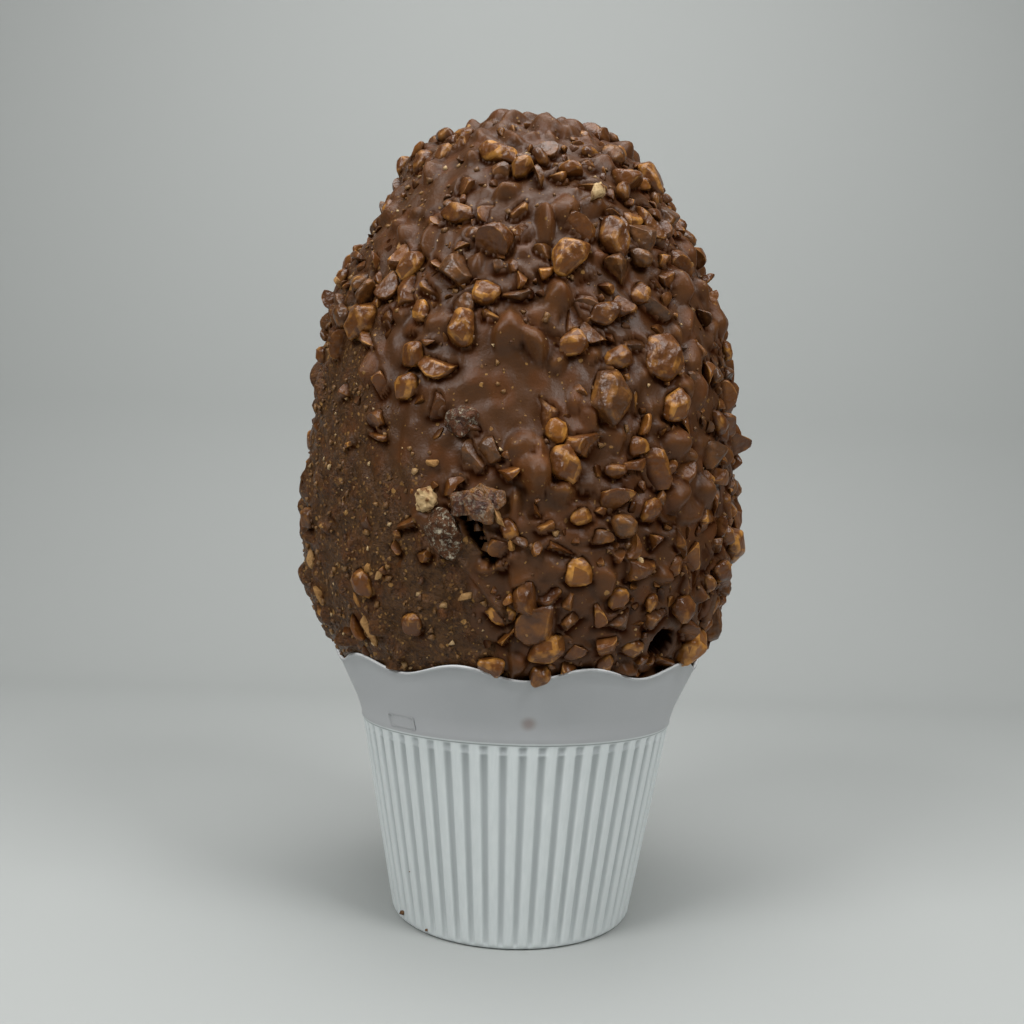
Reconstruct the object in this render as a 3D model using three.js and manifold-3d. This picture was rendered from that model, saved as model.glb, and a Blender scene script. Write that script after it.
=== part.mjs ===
// A chocolate egg covered in chopped hazelnuts, standing in a fluted cup of milky plastic.
// Millimetres, +Z up. The origin is the middle of the cup's foot, on the surface that it stands on.
// The front is towards -Y. An azimuth is in degrees, from the front round towards +X.
import * as THREE from 'three';
import { ConvexGeometry } from 'three/addons/geometries/ConvexGeometry.js';
import { mergeVertices } from 'three/addons/utils/BufferGeometryUtils.js';
import Module from 'manifold-3d';

const wasm = await Module();
wasm.setup();

// ---------------------------------------------------------------- driving dimensions

// The egg's shell without its nuts: a turned shape about its own, slightly leaning axis.
const EGG_RADIUS = 81.5;
const EGG_WIDEST_Z = 150; // height of the widest place
const EGG_ABOVE = 152; // from the widest place up to the tip
const EGG_BELOW = 92; // from the widest place down to the blunt end
const EGG_FULLNESS_ABOVE = 2.35; // 2 is an ellipse, and more is fuller
const EGG_FULLNESS_BELOW = 2.1;
const EGG_SHIFT = -1; // sideways, at the cup's rim
const EGG_LEAN = 0.3; // degrees towards +X
const SHELL_SIDES = 28;
const SHELL_RINGS = 18;

// Swellings and hollows of the shell: their middle, their reach and how far they rise.
const SWELLS = [
  { azimuth: -76, height: 284, reach: 13, rise: 6 }, // the shoulder at the top of the join
  { azimuth: -80, height: 260, reach: 14, rise: -2.5 },
  { azimuth: 62, height: 245, reach: 20, rise: -1.5 },
  { azimuth: -60, height: 226, reach: 16, rise: 2 },
  { azimuth: 60, height: 140, reach: 22, rise: 1.5 },
  { azimuth: 150, height: 210, reach: 24, rise: 2 },
  { azimuth: 180, height: 152, reach: 42, rise: 2.2 },
];

// The two half shells meet along a join that wanders across the front. The right half is thick
// with nuts, and its coat steps up from the smoother left half.
const JOIN_AZIMUTH_HIGH = -29;
const JOIN_AZIMUTH_LOW = -2;
const JOIN_BENDS_AT = 165; // below this height the join turns towards the low azimuth
const JOIN_BENDS_OVER = 60;
const COAT_STEP = 1.4;
const COAT_STEP_WIDTH = 7; // degrees over which it rises
const COAT_STEP_FADE = 90; // degrees over which it sinks again, behind the left half
const THIN_COAT_Z = 96; // up to here the coat is thin, so that the egg fits the cup's rim
const FULL_COAT_Z = 112;

// Holes in the coat: a gaping slit at the join, and a pit low on the right.
const HOLES = [
  { azimuth: -9.5, height: 142.5, length: 21, width: 5, depth: 12, turn: -57 },
  { azimuth: 43.5, height: 108.5, length: 11, width: 9.5, depth: 14, turn: 80 },
];

// The nuts that stand out, with their length, width and thickness, and their turn from level.
// From HAZELNUT_LENGTH up a nut is a piece of its own, and smaller ones are fused to the shell.
const HAZELNUT_LENGTH = 13;
const PLACED_NUTS = [
  { azimuth: 19.5, height: 185.5, size: [17.5, 13, 11], turn: 95 },
  { azimuth: 35, height: 201, size: [18, 15, 8], turn: 25 },
  { azimuth: 10.5, height: 230.5, size: [16, 10.5, 8.5], turn: 52 },
  { azimuth: 23.3, height: 239, size: [15.5, 10.5, 9], turn: 82 },
  { azimuth: 54.5, height: 272, size: [15.5, 10.5, 9], turn: 100 },
  { azimuth: -12.3, height: 270.5, size: [17.5, 8.5, 7.5], turn: -35 },
  { azimuth: -46.5, height: 212, size: [15, 12, 9.5], turn: 65 },
  { azimuth: -14.6, height: 205.5, size: [13.5, 10, 9], turn: 80 },
  { azimuth: -16.5, height: 141.5, size: [17.5, 12.5, 7.5], turn: 110 },
  { azimuth: 9, height: 163, size: [13, 10.5, 9.5], turn: 95 },
  { azimuth: 37.7, height: 185, size: [14.5, 10, 8.5], turn: 50 },
  { azimuth: 56.5, height: 105.5, size: [15, 12.5, 10], turn: 68 },
  { azimuth: 7.8, height: 106.5, size: [13.5, 9, 8], turn: 35 },
  { azimuth: 70, height: 141, size: [16, 11, 9], turn: -40 },
  { azimuth: -22, height: 247, size: [12.8, 8.5, 6.5], turn: -15 },
  { azimuth: 11, height: 202, size: [12.5, 9, 6.5], turn: 25 },
  { azimuth: 19.5, height: 213, size: [12.5, 9, 6.5], turn: 20 },
  { azimuth: -26.4, height: 197.5, size: [10.6, 9, 8.5], turn: 0 },
  { azimuth: -33, height: 230.7, size: [12.5, 9.5, 8], turn: 60 },
  { azimuth: 59, height: 132, size: [12.6, 9, 8.5], turn: -30 },
  { azimuth: -26.1, height: 112.5, size: [9.8, 8, 6.5], turn: 100 },
  { azimuth: -66.5, height: 146, size: [9, 8, 7], turn: 90 },
  { azimuth: -89, height: 177, size: [11, 8, 7], turn: 90 },
  { azimuth: -6.2, height: 99.8, size: [12, 8.5, 8], turn: 10 },
  { azimuth: 6.8, height: 97.6, size: [9, 8, 9], turn: 80 },
  { azimuth: -20.4, height: 152, size: [9.5, 8, 8], turn: 90 },
  { azimuth: -7.5, height: 152, size: [12.5, 11, 4.5], turn: -20 },
  { azimuth: -62, height: 289, size: [9.5, 7, 7], turn: 20 },
  { azimuth: -82, height: 280, size: [10, 8, 8], turn: 60 },
];
const PLACED_LIFT = 0.12; // how far a nut's middle is out of the shell, as a share of its thickness
const PLACED_SEED = 90;

// Chopped nuts strewn by rule, the larger first.
const STREWN = [
  { count: 112, shortest: 10.5, longest: 12.9, seed: 1207 },
  { count: 96, shortest: 8.5, longest: 10.5, seed: 4311 },
];
const NUT_WIDTH = [0.65, 0.95]; // as a share of its length
const NUT_THICKNESS = [0.5, 0.85];
const CHOPPED_CORNERS = 8;
const HAZELNUT_CORNERS = 12;
const CORNER_REACH = [1.1, 1.3]; // of a nut's corners, against an oval of its size
const CORNER_STRAY = 0.4; // radians by which a corner strays from an even spread
const STREWN_LIFT = [0.02, 0.18];
const NUT_SLANT = 20; // degrees by which a strewn nut can be tipped
const NUT_CLEARANCE = 0.4; // least distance between two nuts' middles, as a share of their lengths
const NUT_LOWEST = 90; // below this height the cup hides the egg
const NUT_HIGHEST = 299;
const TRIES_PER_NUT = 60;
const POCKET_GAP = 0.4; // between a hazelnut and the shell that holds it

// Where the shell shows bare, and how thickly nuts lie left of the join and at the back.
const BARE_PATCHES = [
  { azimuth: -4, height: 183, reach: 17 },
  { azimuth: -25, height: 166, reach: 13 },
  { azimuth: -35, height: 262, reach: 14 },
];
const SPARSE_REACH = 72; // degrees to the left of the join with few nuts
const SPARSE_FADE = 45; // degrees over which the nuts grow thick again
const SPARSE_BELOW_Z = 200;
const SPARSE_SHARE = 0.1; // the share of nuts that lie there low down
const SPARSE_SHARE_HIGH = 0.4;
const BACK_SHARE = 0.85;

// The cup.
const CUP_FOOT_RADIUS = 44.9;
const CUP_FOOT_CHAMFER = 2.6;
const CUP_SHOULDER_Z = 73.6; // where the flutes end and the plain flared band begins
const CUP_SHOULDER_RADIUS = 58.9;
const CUP_BAND_Z = 79.9; // the band flares more steeply from here up
const CUP_BAND_RADIUS = 61;
const CUP_RIM_Z = 97.2; // the rim's mean height
const CUP_RIM_RADIUS = 69.4;
const CUP_WALL = 1.3;
const CUP_FLOOR = 2.2;
const CUP_GAP = 0.35; // between the egg and the cup
const INSIDE_CORNER = 2;
const FOOT_RECESS_RADIUS = 39;
const FOOT_RECESS_DEPTH = 1.1;
const FLUTES = 56;
const FLUTE_DEPTH = 1.1;
const FLUTE_END_GAP = 1.2; // from the top of the flutes up to the shoulder
const FIRST_RIDGE_AZIMUTH = -1;
const SCALLOPS = 10;
const SCALLOP_RISE = 2.1; // half of the height from a valley of the rim up to a peak
const SCALLOP_VALLEY_AZIMUTH = 1.5;

// A shallow moulded tab on the band.
const TAB_AZIMUTH = -41;
const TAB_Z = 76.6;
const TAB_WIDTH = 12.5;
const TAB_HEIGHT = 4.6;
const TAB_RELIEF = 0.35;

// ---------------------------------------------------------------- solids and meshes

const radians = THREE.MathUtils.degToRad;
const lerp = THREE.MathUtils.lerp;
const smoothstep = THREE.MathUtils.smoothstep;

function solidOf(geometry) {
  const bare = geometry.clone();
  bare.deleteAttribute('normal');
  bare.deleteAttribute('uv');
  const merged = mergeVertices(bare, 1e-4);
  return new wasm.Manifold(
    new wasm.Mesh({
      numProp: 3,
      vertProperties: merged.attributes.position.array,
      triVerts: new Uint32Array(merged.index.array),
    })
  );
}

function namedMesh(name, solid, material) {
  const { vertProperties, numProp, triVerts } = solid.getMesh();
  const geometry = new THREE.BufferGeometry();
  geometry.setAttribute('position', new THREE.BufferAttribute(vertProperties, numProp));
  geometry.setIndex(new THREE.BufferAttribute(triVerts, 1));
  geometry.computeVertexNormals();
  const mesh = new THREE.Mesh(geometry, material);
  mesh.name = name;
  return mesh;
}

// The largest body of a solid, because a cut can leave loose scraps beside it.
function largestBody(solid) {
  return solid.decompose().reduce((best, body) => (body.volume() > best.volume() ? body : best));
}

// The same draws every time, from a seed.
function seededRandom(seed) {
  let state = seed >>> 0;
  return () => {
    state = (Math.imul(state, 1664525) + 1013904223) >>> 0;
    return state / 4294967296;
  };
}

// The point at an azimuth, a radius from the axis and a height.
function turned(azimuth, radius, height) {
  return new THREE.Vector3(radius * Math.sin(radians(azimuth)), -radius * Math.cos(radians(azimuth)), height);
}

// ---------------------------------------------------------------- the egg's shell

function joinAzimuth(height) {
  const bend = smoothstep((JOIN_BENDS_AT - height) / JOIN_BENDS_OVER, 0, 1);
  return lerp(JOIN_AZIMUTH_HIGH, JOIN_AZIMUTH_LOW, bend);
}

// Degrees from the join round to the right, from 0 up to 360.
function pastJoin(azimuth, height) {
  return THREE.MathUtils.euclideanModulo(azimuth - joinAzimuth(height), 360);
}

function latitudeAt(height) {
  const reach = height > EGG_WIDEST_Z ? EGG_ABOVE : EGG_BELOW;
  return Math.asin((height - EGG_WIDEST_Z) / reach);
}

// The plain egg's radius and height at a latitude, and the direction out of it in that plane.
function eggProfile(latitude) {
  const rise = Math.sin(latitude);
  const reach = rise > 0 ? EGG_ABOVE : EGG_BELOW;
  const fullness = rise > 0 ? EGG_FULLNESS_ABOVE : EGG_FULLNESS_BELOW;
  const radius = EGG_RADIUS * Math.sqrt(Math.max(0, 1 - Math.abs(rise) ** fullness));
  const out = new THREE.Vector2(radius / EGG_RADIUS ** 2, rise / reach).normalize();
  return { radius, height: EGG_WIDEST_Z + rise * reach, out };
}

function plainPoint(azimuth, height) {
  return turned(azimuth, eggProfile(latitudeAt(height)).radius, height);
}

// 1 at a place on the plain egg, falling away to 0 past its reach.
function nearness(point, { azimuth, height, reach }, power = 2) {
  return Math.exp(-((point.distanceTo(plainPoint(azimuth, height)) / reach) ** power));
}

// How far the coat stands out from the plain egg: its step at the join, broad waves and swellings.
function coatRise(azimuth, { radius, height }) {
  const past = pastJoin(azimuth, height);
  const step = COAT_STEP * smoothstep(past, 0, COAT_STEP_WIDTH) * smoothstep(360 - past, 0, COAT_STEP_FADE);
  const waves =
    0.6 * Math.sin(radians(3 * azimuth) + height / 19) + 0.5 * Math.sin(radians(5 * azimuth) - height / 13);
  const thickness = (radius / EGG_RADIUS) * smoothstep(height, THIN_COAT_Z, FULL_COAT_Z);
  const here = turned(azimuth, radius, height);
  return SWELLS.reduce((sum, swell) => sum + swell.rise * nearness(here, swell), thickness * (step + waves));
}

function shellPoint(azimuth, latitude) {
  const profile = eggProfile(latitude);
  const rise = coatRise(azimuth, profile);
  const point = turned(azimuth, profile.radius + rise * profile.out.x, profile.height + rise * profile.out.y);
  point.x += EGG_SHIFT + (point.z - CUP_RIM_Z) * Math.tan(radians(EGG_LEAN));
  return point;
}

// A frame on the shell at a place: its x axis is level, and its z axis points out of the shell.
function shellFrame(azimuth, height) {
  const latitude = latitudeAt(height);
  const east = shellPoint(azimuth + 0.5, latitude).sub(shellPoint(azimuth - 0.5, latitude)).normalize();
  const rise = shellPoint(azimuth, latitude + 0.01).sub(shellPoint(azimuth, latitude - 0.01));
  const out = east.clone().cross(rise).normalize();
  const frame = new THREE.Matrix4().makeBasis(east, out.clone().cross(east), out);
  return frame.setPosition(shellPoint(azimuth, latitude));
}

function shellSolid() {
  const sphere = new THREE.SphereGeometry(1, SHELL_SIDES, SHELL_RINGS);
  const { position, uv } = sphere.attributes;
  for (let i = 0; i < position.count; i++) {
    const point = shellPoint(360 * uv.getX(i), Math.PI * (uv.getY(i) - 0.5));
    position.setXYZ(i, point.x, point.y, point.z);
  }
  return solidOf(sphere);
}

// A hole's sides: a ball stretched along the shell and into it.
function holeSolid({ azimuth, height, length, width, depth, turn }) {
  const ball = new THREE.SphereGeometry(0.5, 12, 8);
  ball.scale(length, width, depth).rotateZ(radians(turn));
  return solidOf(ball.applyMatrix4(shellFrame(azimuth, height)));
}

// ---------------------------------------------------------------- the nuts

// One chopped nut: the hull of a few uneven corners, sunk part way into the shell.
function nutSolid(nut, gap = 0) {
  const random = seededRandom(nut.seed);
  const count = nut.size[0] < HAZELNUT_LENGTH ? CHOPPED_CORNERS : HAZELNUT_CORNERS;
  const half = new THREE.Vector3(...nut.size).multiplyScalar(0.5).addScalar(gap);
  const goldenAngle = Math.PI * (3 - Math.sqrt(5));
  const corners = Array.from({ length: count }, (_, i) => {
    const level = 1 - (2 * i + 1) / count;
    const angle = i * goldenAngle + CORNER_STRAY * (2 * random() - 1);
    const girth = Math.sqrt(1 - level * level);
    const corner = new THREE.Vector3(girth * Math.cos(angle), girth * Math.sin(angle), level);
    return corner.multiplyScalar(lerp(...CORNER_REACH, random())).multiply(half);
  });
  const hull = new ConvexGeometry(corners);
  hull.rotateX(radians(nut.tip)).rotateY(radians(nut.roll)).rotateZ(radians(nut.turn));
  hull.translate(0, 0, nut.size[2] * nut.lift);
  return solidOf(hull.applyMatrix4(shellFrame(nut.azimuth, nut.height)));
}

// The share of nuts that stay at a place, from 0 to 1.
function nutShare(azimuth, height) {
  const past = pastJoin(azimuth, height);
  const sparse = height > SPARSE_BELOW_Z ? SPARSE_SHARE_HIGH : SPARSE_SHARE;
  const left = lerp(sparse, BACK_SHARE, smoothstep(360 - past, SPARSE_REACH, SPARSE_REACH + SPARSE_FADE));
  const here = plainPoint(azimuth, height);
  return BARE_PATCHES.reduce((share, patch) => share * (1 - nearness(here, patch, 4)), past < 180 ? 1 : left);
}

function placedNuts() {
  return PLACED_NUTS.map((nut, i) => ({ ...nut, tip: 0, roll: 0, lift: PLACED_LIFT, seed: PLACED_SEED + i }));
}

// Strews one size of nut over the shell, clear of the nuts that are there already.
function strewNuts(nuts, { count, shortest, longest, seed }) {
  const random = seededRandom(seed);
  let laid = 0;
  for (let tries = 0; laid < count && tries < count * TRIES_PER_NUT; tries++) {
    const draws = Array.from({ length: 9 }, random);
    const [turn, level, stay, length, width, thickness, tip, roll, around] = draws;
    const azimuth = 360 * around - 180;
    const height = lerp(NUT_LOWEST, NUT_HIGHEST, level);
    if (stay > nutShare(azimuth, height)) continue;
    const longSide = lerp(shortest, longest, length);
    const middle = plainPoint(azimuth, height);
    const crowded = nuts.some((other) => {
      const distance = middle.distanceTo(plainPoint(other.azimuth, other.height));
      return distance < NUT_CLEARANCE * (longSide + other.size[0]);
    });
    if (crowded) continue;
    nuts.push({
      azimuth,
      height,
      size: [longSide, longSide * lerp(...NUT_WIDTH, width), longSide * lerp(...NUT_THICKNESS, thickness)],
      turn: 360 * turn,
      tip: NUT_SLANT * (2 * tip - 1),
      roll: NUT_SLANT * (2 * roll - 1),
      lift: lerp(...STREWN_LIFT, tip),
      seed: seed + laid,
    });
    laid++;
  }
}

// ---------------------------------------------------------------- the cup

function rimScallop(azimuth) {
  return -SCALLOP_RISE * Math.cos(radians(SCALLOPS * (azimuth - SCALLOP_VALLEY_AZIMUTH)));
}

// The band's outer profile, and how fast its radius grows with height at the rim.
const RIM_FLARE = (CUP_RIM_RADIUS - CUP_BAND_RADIUS) / (CUP_RIM_Z - CUP_BAND_Z);
function bandProfile(outset = 0) {
  return [
    new THREE.Vector2(CUP_SHOULDER_RADIUS + outset, CUP_SHOULDER_Z),
    new THREE.Vector2(CUP_BAND_RADIUS + outset, CUP_BAND_Z),
    new THREE.Vector2(CUP_RIM_RADIUS + outset, CUP_RIM_Z),
  ];
}

// A profile of radius and height turned about Z. shape can move each of its vertices.
function turnedSolid(profile, sides, shape = (side, ring) => ({
  azimuth: (side * 360) / sides,
  radius: profile[ring].x,
  height: profile[ring].y,
})) {
  const lathe = new THREE.LatheGeometry(profile, sides);
  const { position } = lathe.attributes;
  for (let i = 0; i < position.count; i++) {
    const side = Math.floor(i / profile.length) % sides;
    const { azimuth, radius, height } = shape(side, i % profile.length);
    const point = turned(azimuth, radius, height);
    position.setXYZ(i, point.x, point.y, point.z);
  }
  return solidOf(lathe);
}

// The corners of a ridge and its groove, across one pitch from the middle of the ridge.
const FLUTE_CORNERS = [
  { at: -0.3, groove: 0 },
  { at: 0.3, groove: 0 },
  { at: 0.5, groove: 1 },
];

function cupOutside() {
  const taper = (CUP_SHOULDER_RADIUS - CUP_FOOT_RADIUS) / CUP_SHOULDER_Z;
  const fluteTop = CUP_SHOULDER_Z - FLUTE_END_GAP;
  const profile = [
    new THREE.Vector2(0, 0),
    new THREE.Vector2(CUP_FOOT_RADIUS - CUP_FOOT_CHAMFER, 0),
    new THREE.Vector2(CUP_FOOT_RADIUS + taper * CUP_FOOT_CHAMFER, CUP_FOOT_CHAMFER),
    new THREE.Vector2(CUP_FOOT_RADIUS + taper * fluteTop, fluteTop),
    ...bandProfile(),
    new THREE.Vector2(0, CUP_RIM_Z),
  ];
  const fluted = [2, 3];
  const rim = profile.length - 2;
  return turnedSolid(profile, FLUTES * FLUTE_CORNERS.length, (side, ring) => {
    const { at, groove } = FLUTE_CORNERS[side % FLUTE_CORNERS.length];
    const flute = Math.floor(side / FLUTE_CORNERS.length);
    const azimuth = FIRST_RIDGE_AZIMUTH + ((flute + at) * 360) / FLUTES;
    const cut = fluted.includes(ring) ? groove * FLUTE_DEPTH : 0;
    const scallop = ring === rim ? rimScallop(azimuth) : 0;
    const { x, y } = profile[ring];
    return { azimuth, radius: x - cut + RIM_FLARE * scallop, height: y + scallop };
  });
}

function cupInside() {
  const above = 2 * SCALLOP_RISE;
  const floorRadius = CUP_FOOT_RADIUS - FLUTE_DEPTH - CUP_WALL;
  return turnedSolid(
    [
      new THREE.Vector2(0, CUP_FLOOR),
      new THREE.Vector2(floorRadius - INSIDE_CORNER, CUP_FLOOR),
      new THREE.Vector2(floorRadius, CUP_FLOOR + INSIDE_CORNER),
      new THREE.Vector2(CUP_SHOULDER_RADIUS - FLUTE_DEPTH - CUP_WALL, CUP_SHOULDER_Z - 2),
      ...bandProfile(-CUP_WALL),
      new THREE.Vector2(CUP_RIM_RADIUS - CUP_WALL + RIM_FLARE * above, CUP_RIM_Z + above),
      new THREE.Vector2(0, CUP_RIM_Z + above),
    ],
    FLUTES
  );
}

function footRecess() {
  return turnedSolid(
    [
      new THREE.Vector2(0, -1),
      new THREE.Vector2(FOOT_RECESS_RADIUS + 1, -1),
      new THREE.Vector2(FOOT_RECESS_RADIUS, FOOT_RECESS_DEPTH),
      new THREE.Vector2(0, FOOT_RECESS_DEPTH),
    ],
    FLUTES
  );
}

function tabSolid() {
  const slope = Math.atan2(CUP_BAND_RADIUS - CUP_SHOULDER_RADIUS, CUP_BAND_Z - CUP_SHOULDER_Z);
  const radius = CUP_SHOULDER_RADIUS + (TAB_Z - CUP_SHOULDER_Z) * Math.tan(slope);
  const tab = new THREE.BoxGeometry(TAB_WIDTH, 2 * TAB_RELIEF, TAB_HEIGHT);
  tab.rotateX(slope).rotateZ(radians(TAB_AZIMUTH));
  const middle = turned(TAB_AZIMUTH, radius, TAB_Z);
  return solidOf(tab.translate(middle.x, middle.y, middle.z));
}

function cupSolid() {
  return cupOutside().add(tabSolid()).subtract(cupInside()).subtract(footRecess());
}

// What the egg keeps clear of: the cup's band, grown by the gap on both sides and at the rim.
function cupClearance() {
  const profile = [
    ...bandProfile(CUP_GAP),
    ...bandProfile(-CUP_WALL - CUP_GAP).reverse(),
    new THREE.Vector2(CUP_SHOULDER_RADIUS + CUP_GAP, CUP_SHOULDER_Z),
  ];
  const rims = [2, 3];
  const sides = 2 * FLUTES;
  return turnedSolid(profile, sides, (side, ring) => {
    const azimuth = (side * 360) / sides;
    const scallop = rims.includes(ring) ? rimScallop(azimuth) + CUP_GAP : 0;
    const { x, y } = profile[ring];
    return { azimuth, radius: x + RIM_FLARE * scallop, height: y + scallop };
  });
}

// ---------------------------------------------------------------- the egg in its cup

const coat = new THREE.MeshStandardMaterial({ color: 0x5a3c28, roughness: 0.5, metalness: 0 });
const coatedNut = new THREE.MeshStandardMaterial({ color: 0x7a4a28, roughness: 0.4, metalness: 0 });
const milkyPlastic = new THREE.MeshStandardMaterial({ color: 0xd3dad9, roughness: 0.35, metalness: 0 });

const nuts = placedNuts();
STREWN.forEach((kind) => strewNuts(nuts, kind));
const hazelnuts = nuts.filter((nut) => nut.size[0] >= HAZELNUT_LENGTH);
const choppedNuts = nuts.filter((nut) => nut.size[0] < HAZELNUT_LENGTH);

const clearance = cupClearance();
const pockets = [...hazelnuts.map((nut) => nutSolid(nut, POCKET_GAP)), ...HOLES.map(holeSolid)];
const egg = wasm.Manifold.union([shellSolid(), ...choppedNuts.map((nut) => nutSolid(nut))])
  .subtract(wasm.Manifold.union([...pockets, clearance]));

const object = new THREE.Group();
object.add(namedMesh('cup', cupSolid(), milkyPlastic));
object.add(namedMesh('egg', largestBody(egg), coat));
hazelnuts.forEach((nut, i) => {
  const solid = largestBody(nutSolid(nut).subtract(clearance));
  object.add(namedMesh(`hazelnut_${String(i + 1).padStart(2, '0')}`, solid, coatedNut));
});

export default object;
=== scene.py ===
import math
from functools import partial
from itertools import product

import bmesh
import bpy
from mathutils import Matrix, Vector, noise
from mathutils.bvhtree import BVHTree


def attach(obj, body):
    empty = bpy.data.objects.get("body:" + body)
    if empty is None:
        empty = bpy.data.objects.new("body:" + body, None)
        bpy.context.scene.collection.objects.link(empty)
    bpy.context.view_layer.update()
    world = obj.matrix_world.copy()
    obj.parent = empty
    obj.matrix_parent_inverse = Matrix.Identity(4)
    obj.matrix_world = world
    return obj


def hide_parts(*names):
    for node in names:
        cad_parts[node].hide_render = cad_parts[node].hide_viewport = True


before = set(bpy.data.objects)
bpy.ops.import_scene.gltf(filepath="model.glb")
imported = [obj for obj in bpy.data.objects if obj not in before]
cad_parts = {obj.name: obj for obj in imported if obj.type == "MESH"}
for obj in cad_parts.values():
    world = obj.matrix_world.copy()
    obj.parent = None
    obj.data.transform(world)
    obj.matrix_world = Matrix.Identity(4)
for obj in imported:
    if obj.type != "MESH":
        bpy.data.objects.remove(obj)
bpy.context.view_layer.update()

# ------------------------ the cup
# A thin fluted cup of milky polypropylene, injection moulded in one piece. Its wide ridges catch the
# light, its narrow grooves look grey, and the plain band above them has a scalloped rim. The grey of
# the grooves and of the band is painted shade, and the white along the rim is a painted highlight.

MM = 0.001  # the part's sizes are in millimetres, and a mesh is scaled to metres when it is done
FOOT_RADIUS = 44.9
FOOT_CORNER = 2.9
FOOT_RECESS_RADIUS = 39
FOOT_RECESS_DEPTH = 1.1
SHOULDER_Z = 73.6  # where the plain band begins
SHOULDER_RADIUS = 58.9
BAND_Z = 79.9  # from here up the band flares more steeply
BAND_RADIUS = 61
RIM_Z = 97.2
RIM_RADIUS = 69.4
RIM_FLARE = (RIM_RADIUS - BAND_RADIUS) / (RIM_Z - BAND_Z)
WALL = 1.3
INSIDE_EASE = 2  # of the corner inside, where the wall meets the floor
FLOOR_THICKNESS = 2.2
FLUTES = 56
STEPS_PER_FLUTE = 12
FLUTE_DEPTH = 0.85
FLUTE_TOP_Z = 71.2
RING_Z = 68.9  # a fine stacking ring that shows in the grooves
RING_DEPTH = 0.45
RING_HALF = 0.5
RIDGE_HALF = 0.25  # half of a ridge's width, as a share of the pitch
GROOVE_FROM = 0.38
# The painted shade in the grooves fades between these heights, down to this share at the foot.
GROOVE_SHADE_FADE = (3, 16)  # heights between which the grooves pale towards the foot
GROOVE_SHADE_LEAST = 0.4
CROWN = 0.15  # how far a ridge is rounded at its sides
FIRST_RIDGE_AZIMUTH = -1
SCALLOPS = 10
SCALLOP_RISE = 2.1
# The rim is painted white down to here, as a highlight.
RIM_HIGHLIGHT_DROP = 0.45  # how far down the rim shines white
SCALLOP_VALLEY_AZIMUTH = 1.5
SMEAR = (3.5, 61.2, 80)  # azimuth, radius and height of a smear of chocolate on the band
SMEAR_REACH = (0.6, 3.6)
# A painted shadow line and a painted highlight line just above it, at the small step where the flutes meet
# the band.
STEP_SHADE_AND_HIGHLIGHT_LINES = [  # height, half width and colour of the fine lines where the flutes meet the band
    (SHOULDER_Z - 1.3, 0.25, "#9a9fa0"),
    (SHOULDER_Z - 0.75, 0.25, "#cfd4d4"),
]


def turned(azimuth, radius, height):
    """The point at an azimuth in degrees, from the front round towards +X."""
    angle = math.radians(azimuth)
    return Vector((radius * math.sin(angle), -radius * math.cos(angle), height))


def azimuth_of(point):
    return math.degrees(math.atan2(point.x, -point.y))


def lerp(low, high, share):
    return low + (high - low) * share


def smoothstep(x, low, high):
    share = min(1, max(0, (x - low) / (high - low)))
    return share * share * (3 - 2 * share)


def arc(middle, radius, start, end, steps):
    """Points of radius and height along an arc, from one angle to another in degrees."""
    angles = [math.radians(lerp(start, end, i / steps)) for i in range(steps + 1)]
    return [(middle[0] + radius * math.cos(a), middle[1] + radius * math.sin(a)) for a in angles]


def wall_radius(height):
    """The radius of the cup's outside on a ridge or on the band."""
    if height < SHOULDER_Z:
        return lerp(FOOT_RADIUS, SHOULDER_RADIUS, height / SHOULDER_Z)
    if height < BAND_Z:
        return lerp(SHOULDER_RADIUS, BAND_RADIUS, (height - SHOULDER_Z) / (BAND_Z - SHOULDER_Z))
    return BAND_RADIUS + RIM_FLARE * (height - BAND_Z)


def rim_scallop(azimuth):
    return -SCALLOP_RISE * math.cos(math.radians(SCALLOPS * (azimuth - SCALLOP_VALLEY_AZIMUTH)))


def place_object(name, data):
    item = bpy.data.objects.new(name, data)
    bpy.context.scene.collection.objects.link(item)
    return item


def mesh_object(name, bm, material):
    for face in bm.faces:
        face.smooth = True
    mesh = bpy.data.meshes.new(name)
    bm.to_mesh(mesh)
    bm.free()
    mesh.materials.append(material)
    return place_object(name, mesh)


def finish_piece(name, bm, material, slot, *nodes):
    """Makes an object of a mesh in millimetres that rides on the part and can stand for CAD nodes."""
    bmesh.ops.scale(bm, vec=(MM, MM, MM), verts=bm.verts)
    piece = mesh_object(name, bm, material)
    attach(piece, "root")
    if nodes:
        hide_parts(*nodes)
    return piece


def linear(hex_colour):
    """The linear red, green, blue and alpha of an sRGB colour."""
    shares = [int(hex_colour[i:i + 2], 16) / 255 for i in (1, 3, 5)]
    return [s / 12.92 if s <= 0.04045 else ((s + 0.055) / 1.055) ** 2.4 for s in shares] + [1]


def add_node(tree, kind, *inputs, output=None, **settings):
    """Adds a node, sets it, fills or links its inputs in order or by name, and returns one output."""
    if kind.isupper():  # what is to be done in a sum
        kind, settings["operation"] = "Math", kind
    node = tree.nodes.new("ShaderNode" + kind)
    if kind == "Mix":
        node.data_type = "RGBA"  # every mix here is one of colours
    for name in [name for name in settings if hasattr(node, name)]:
        setattr(node, name, settings.pop(name))
    sockets = [s for s in node.inputs if s.enabled]
    named = {s.name.replace(" ", "_"): s for s in sockets}
    for socket, value in [*zip(sockets, inputs), *[(named[name], settings[name]) for name in settings]]:
        if isinstance(value, bpy.types.NodeSocket):
            tree.links.new(value, socket)
        else:
            socket.default_value = linear(value) if isinstance(value, str) else value
    return node.outputs[output] if output else next((s for s in node.outputs if s.enabled), None)


def per(size):
    """The scale of a pattern from the size of its features in millimetres."""
    return 1 / (size * MM)


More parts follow.
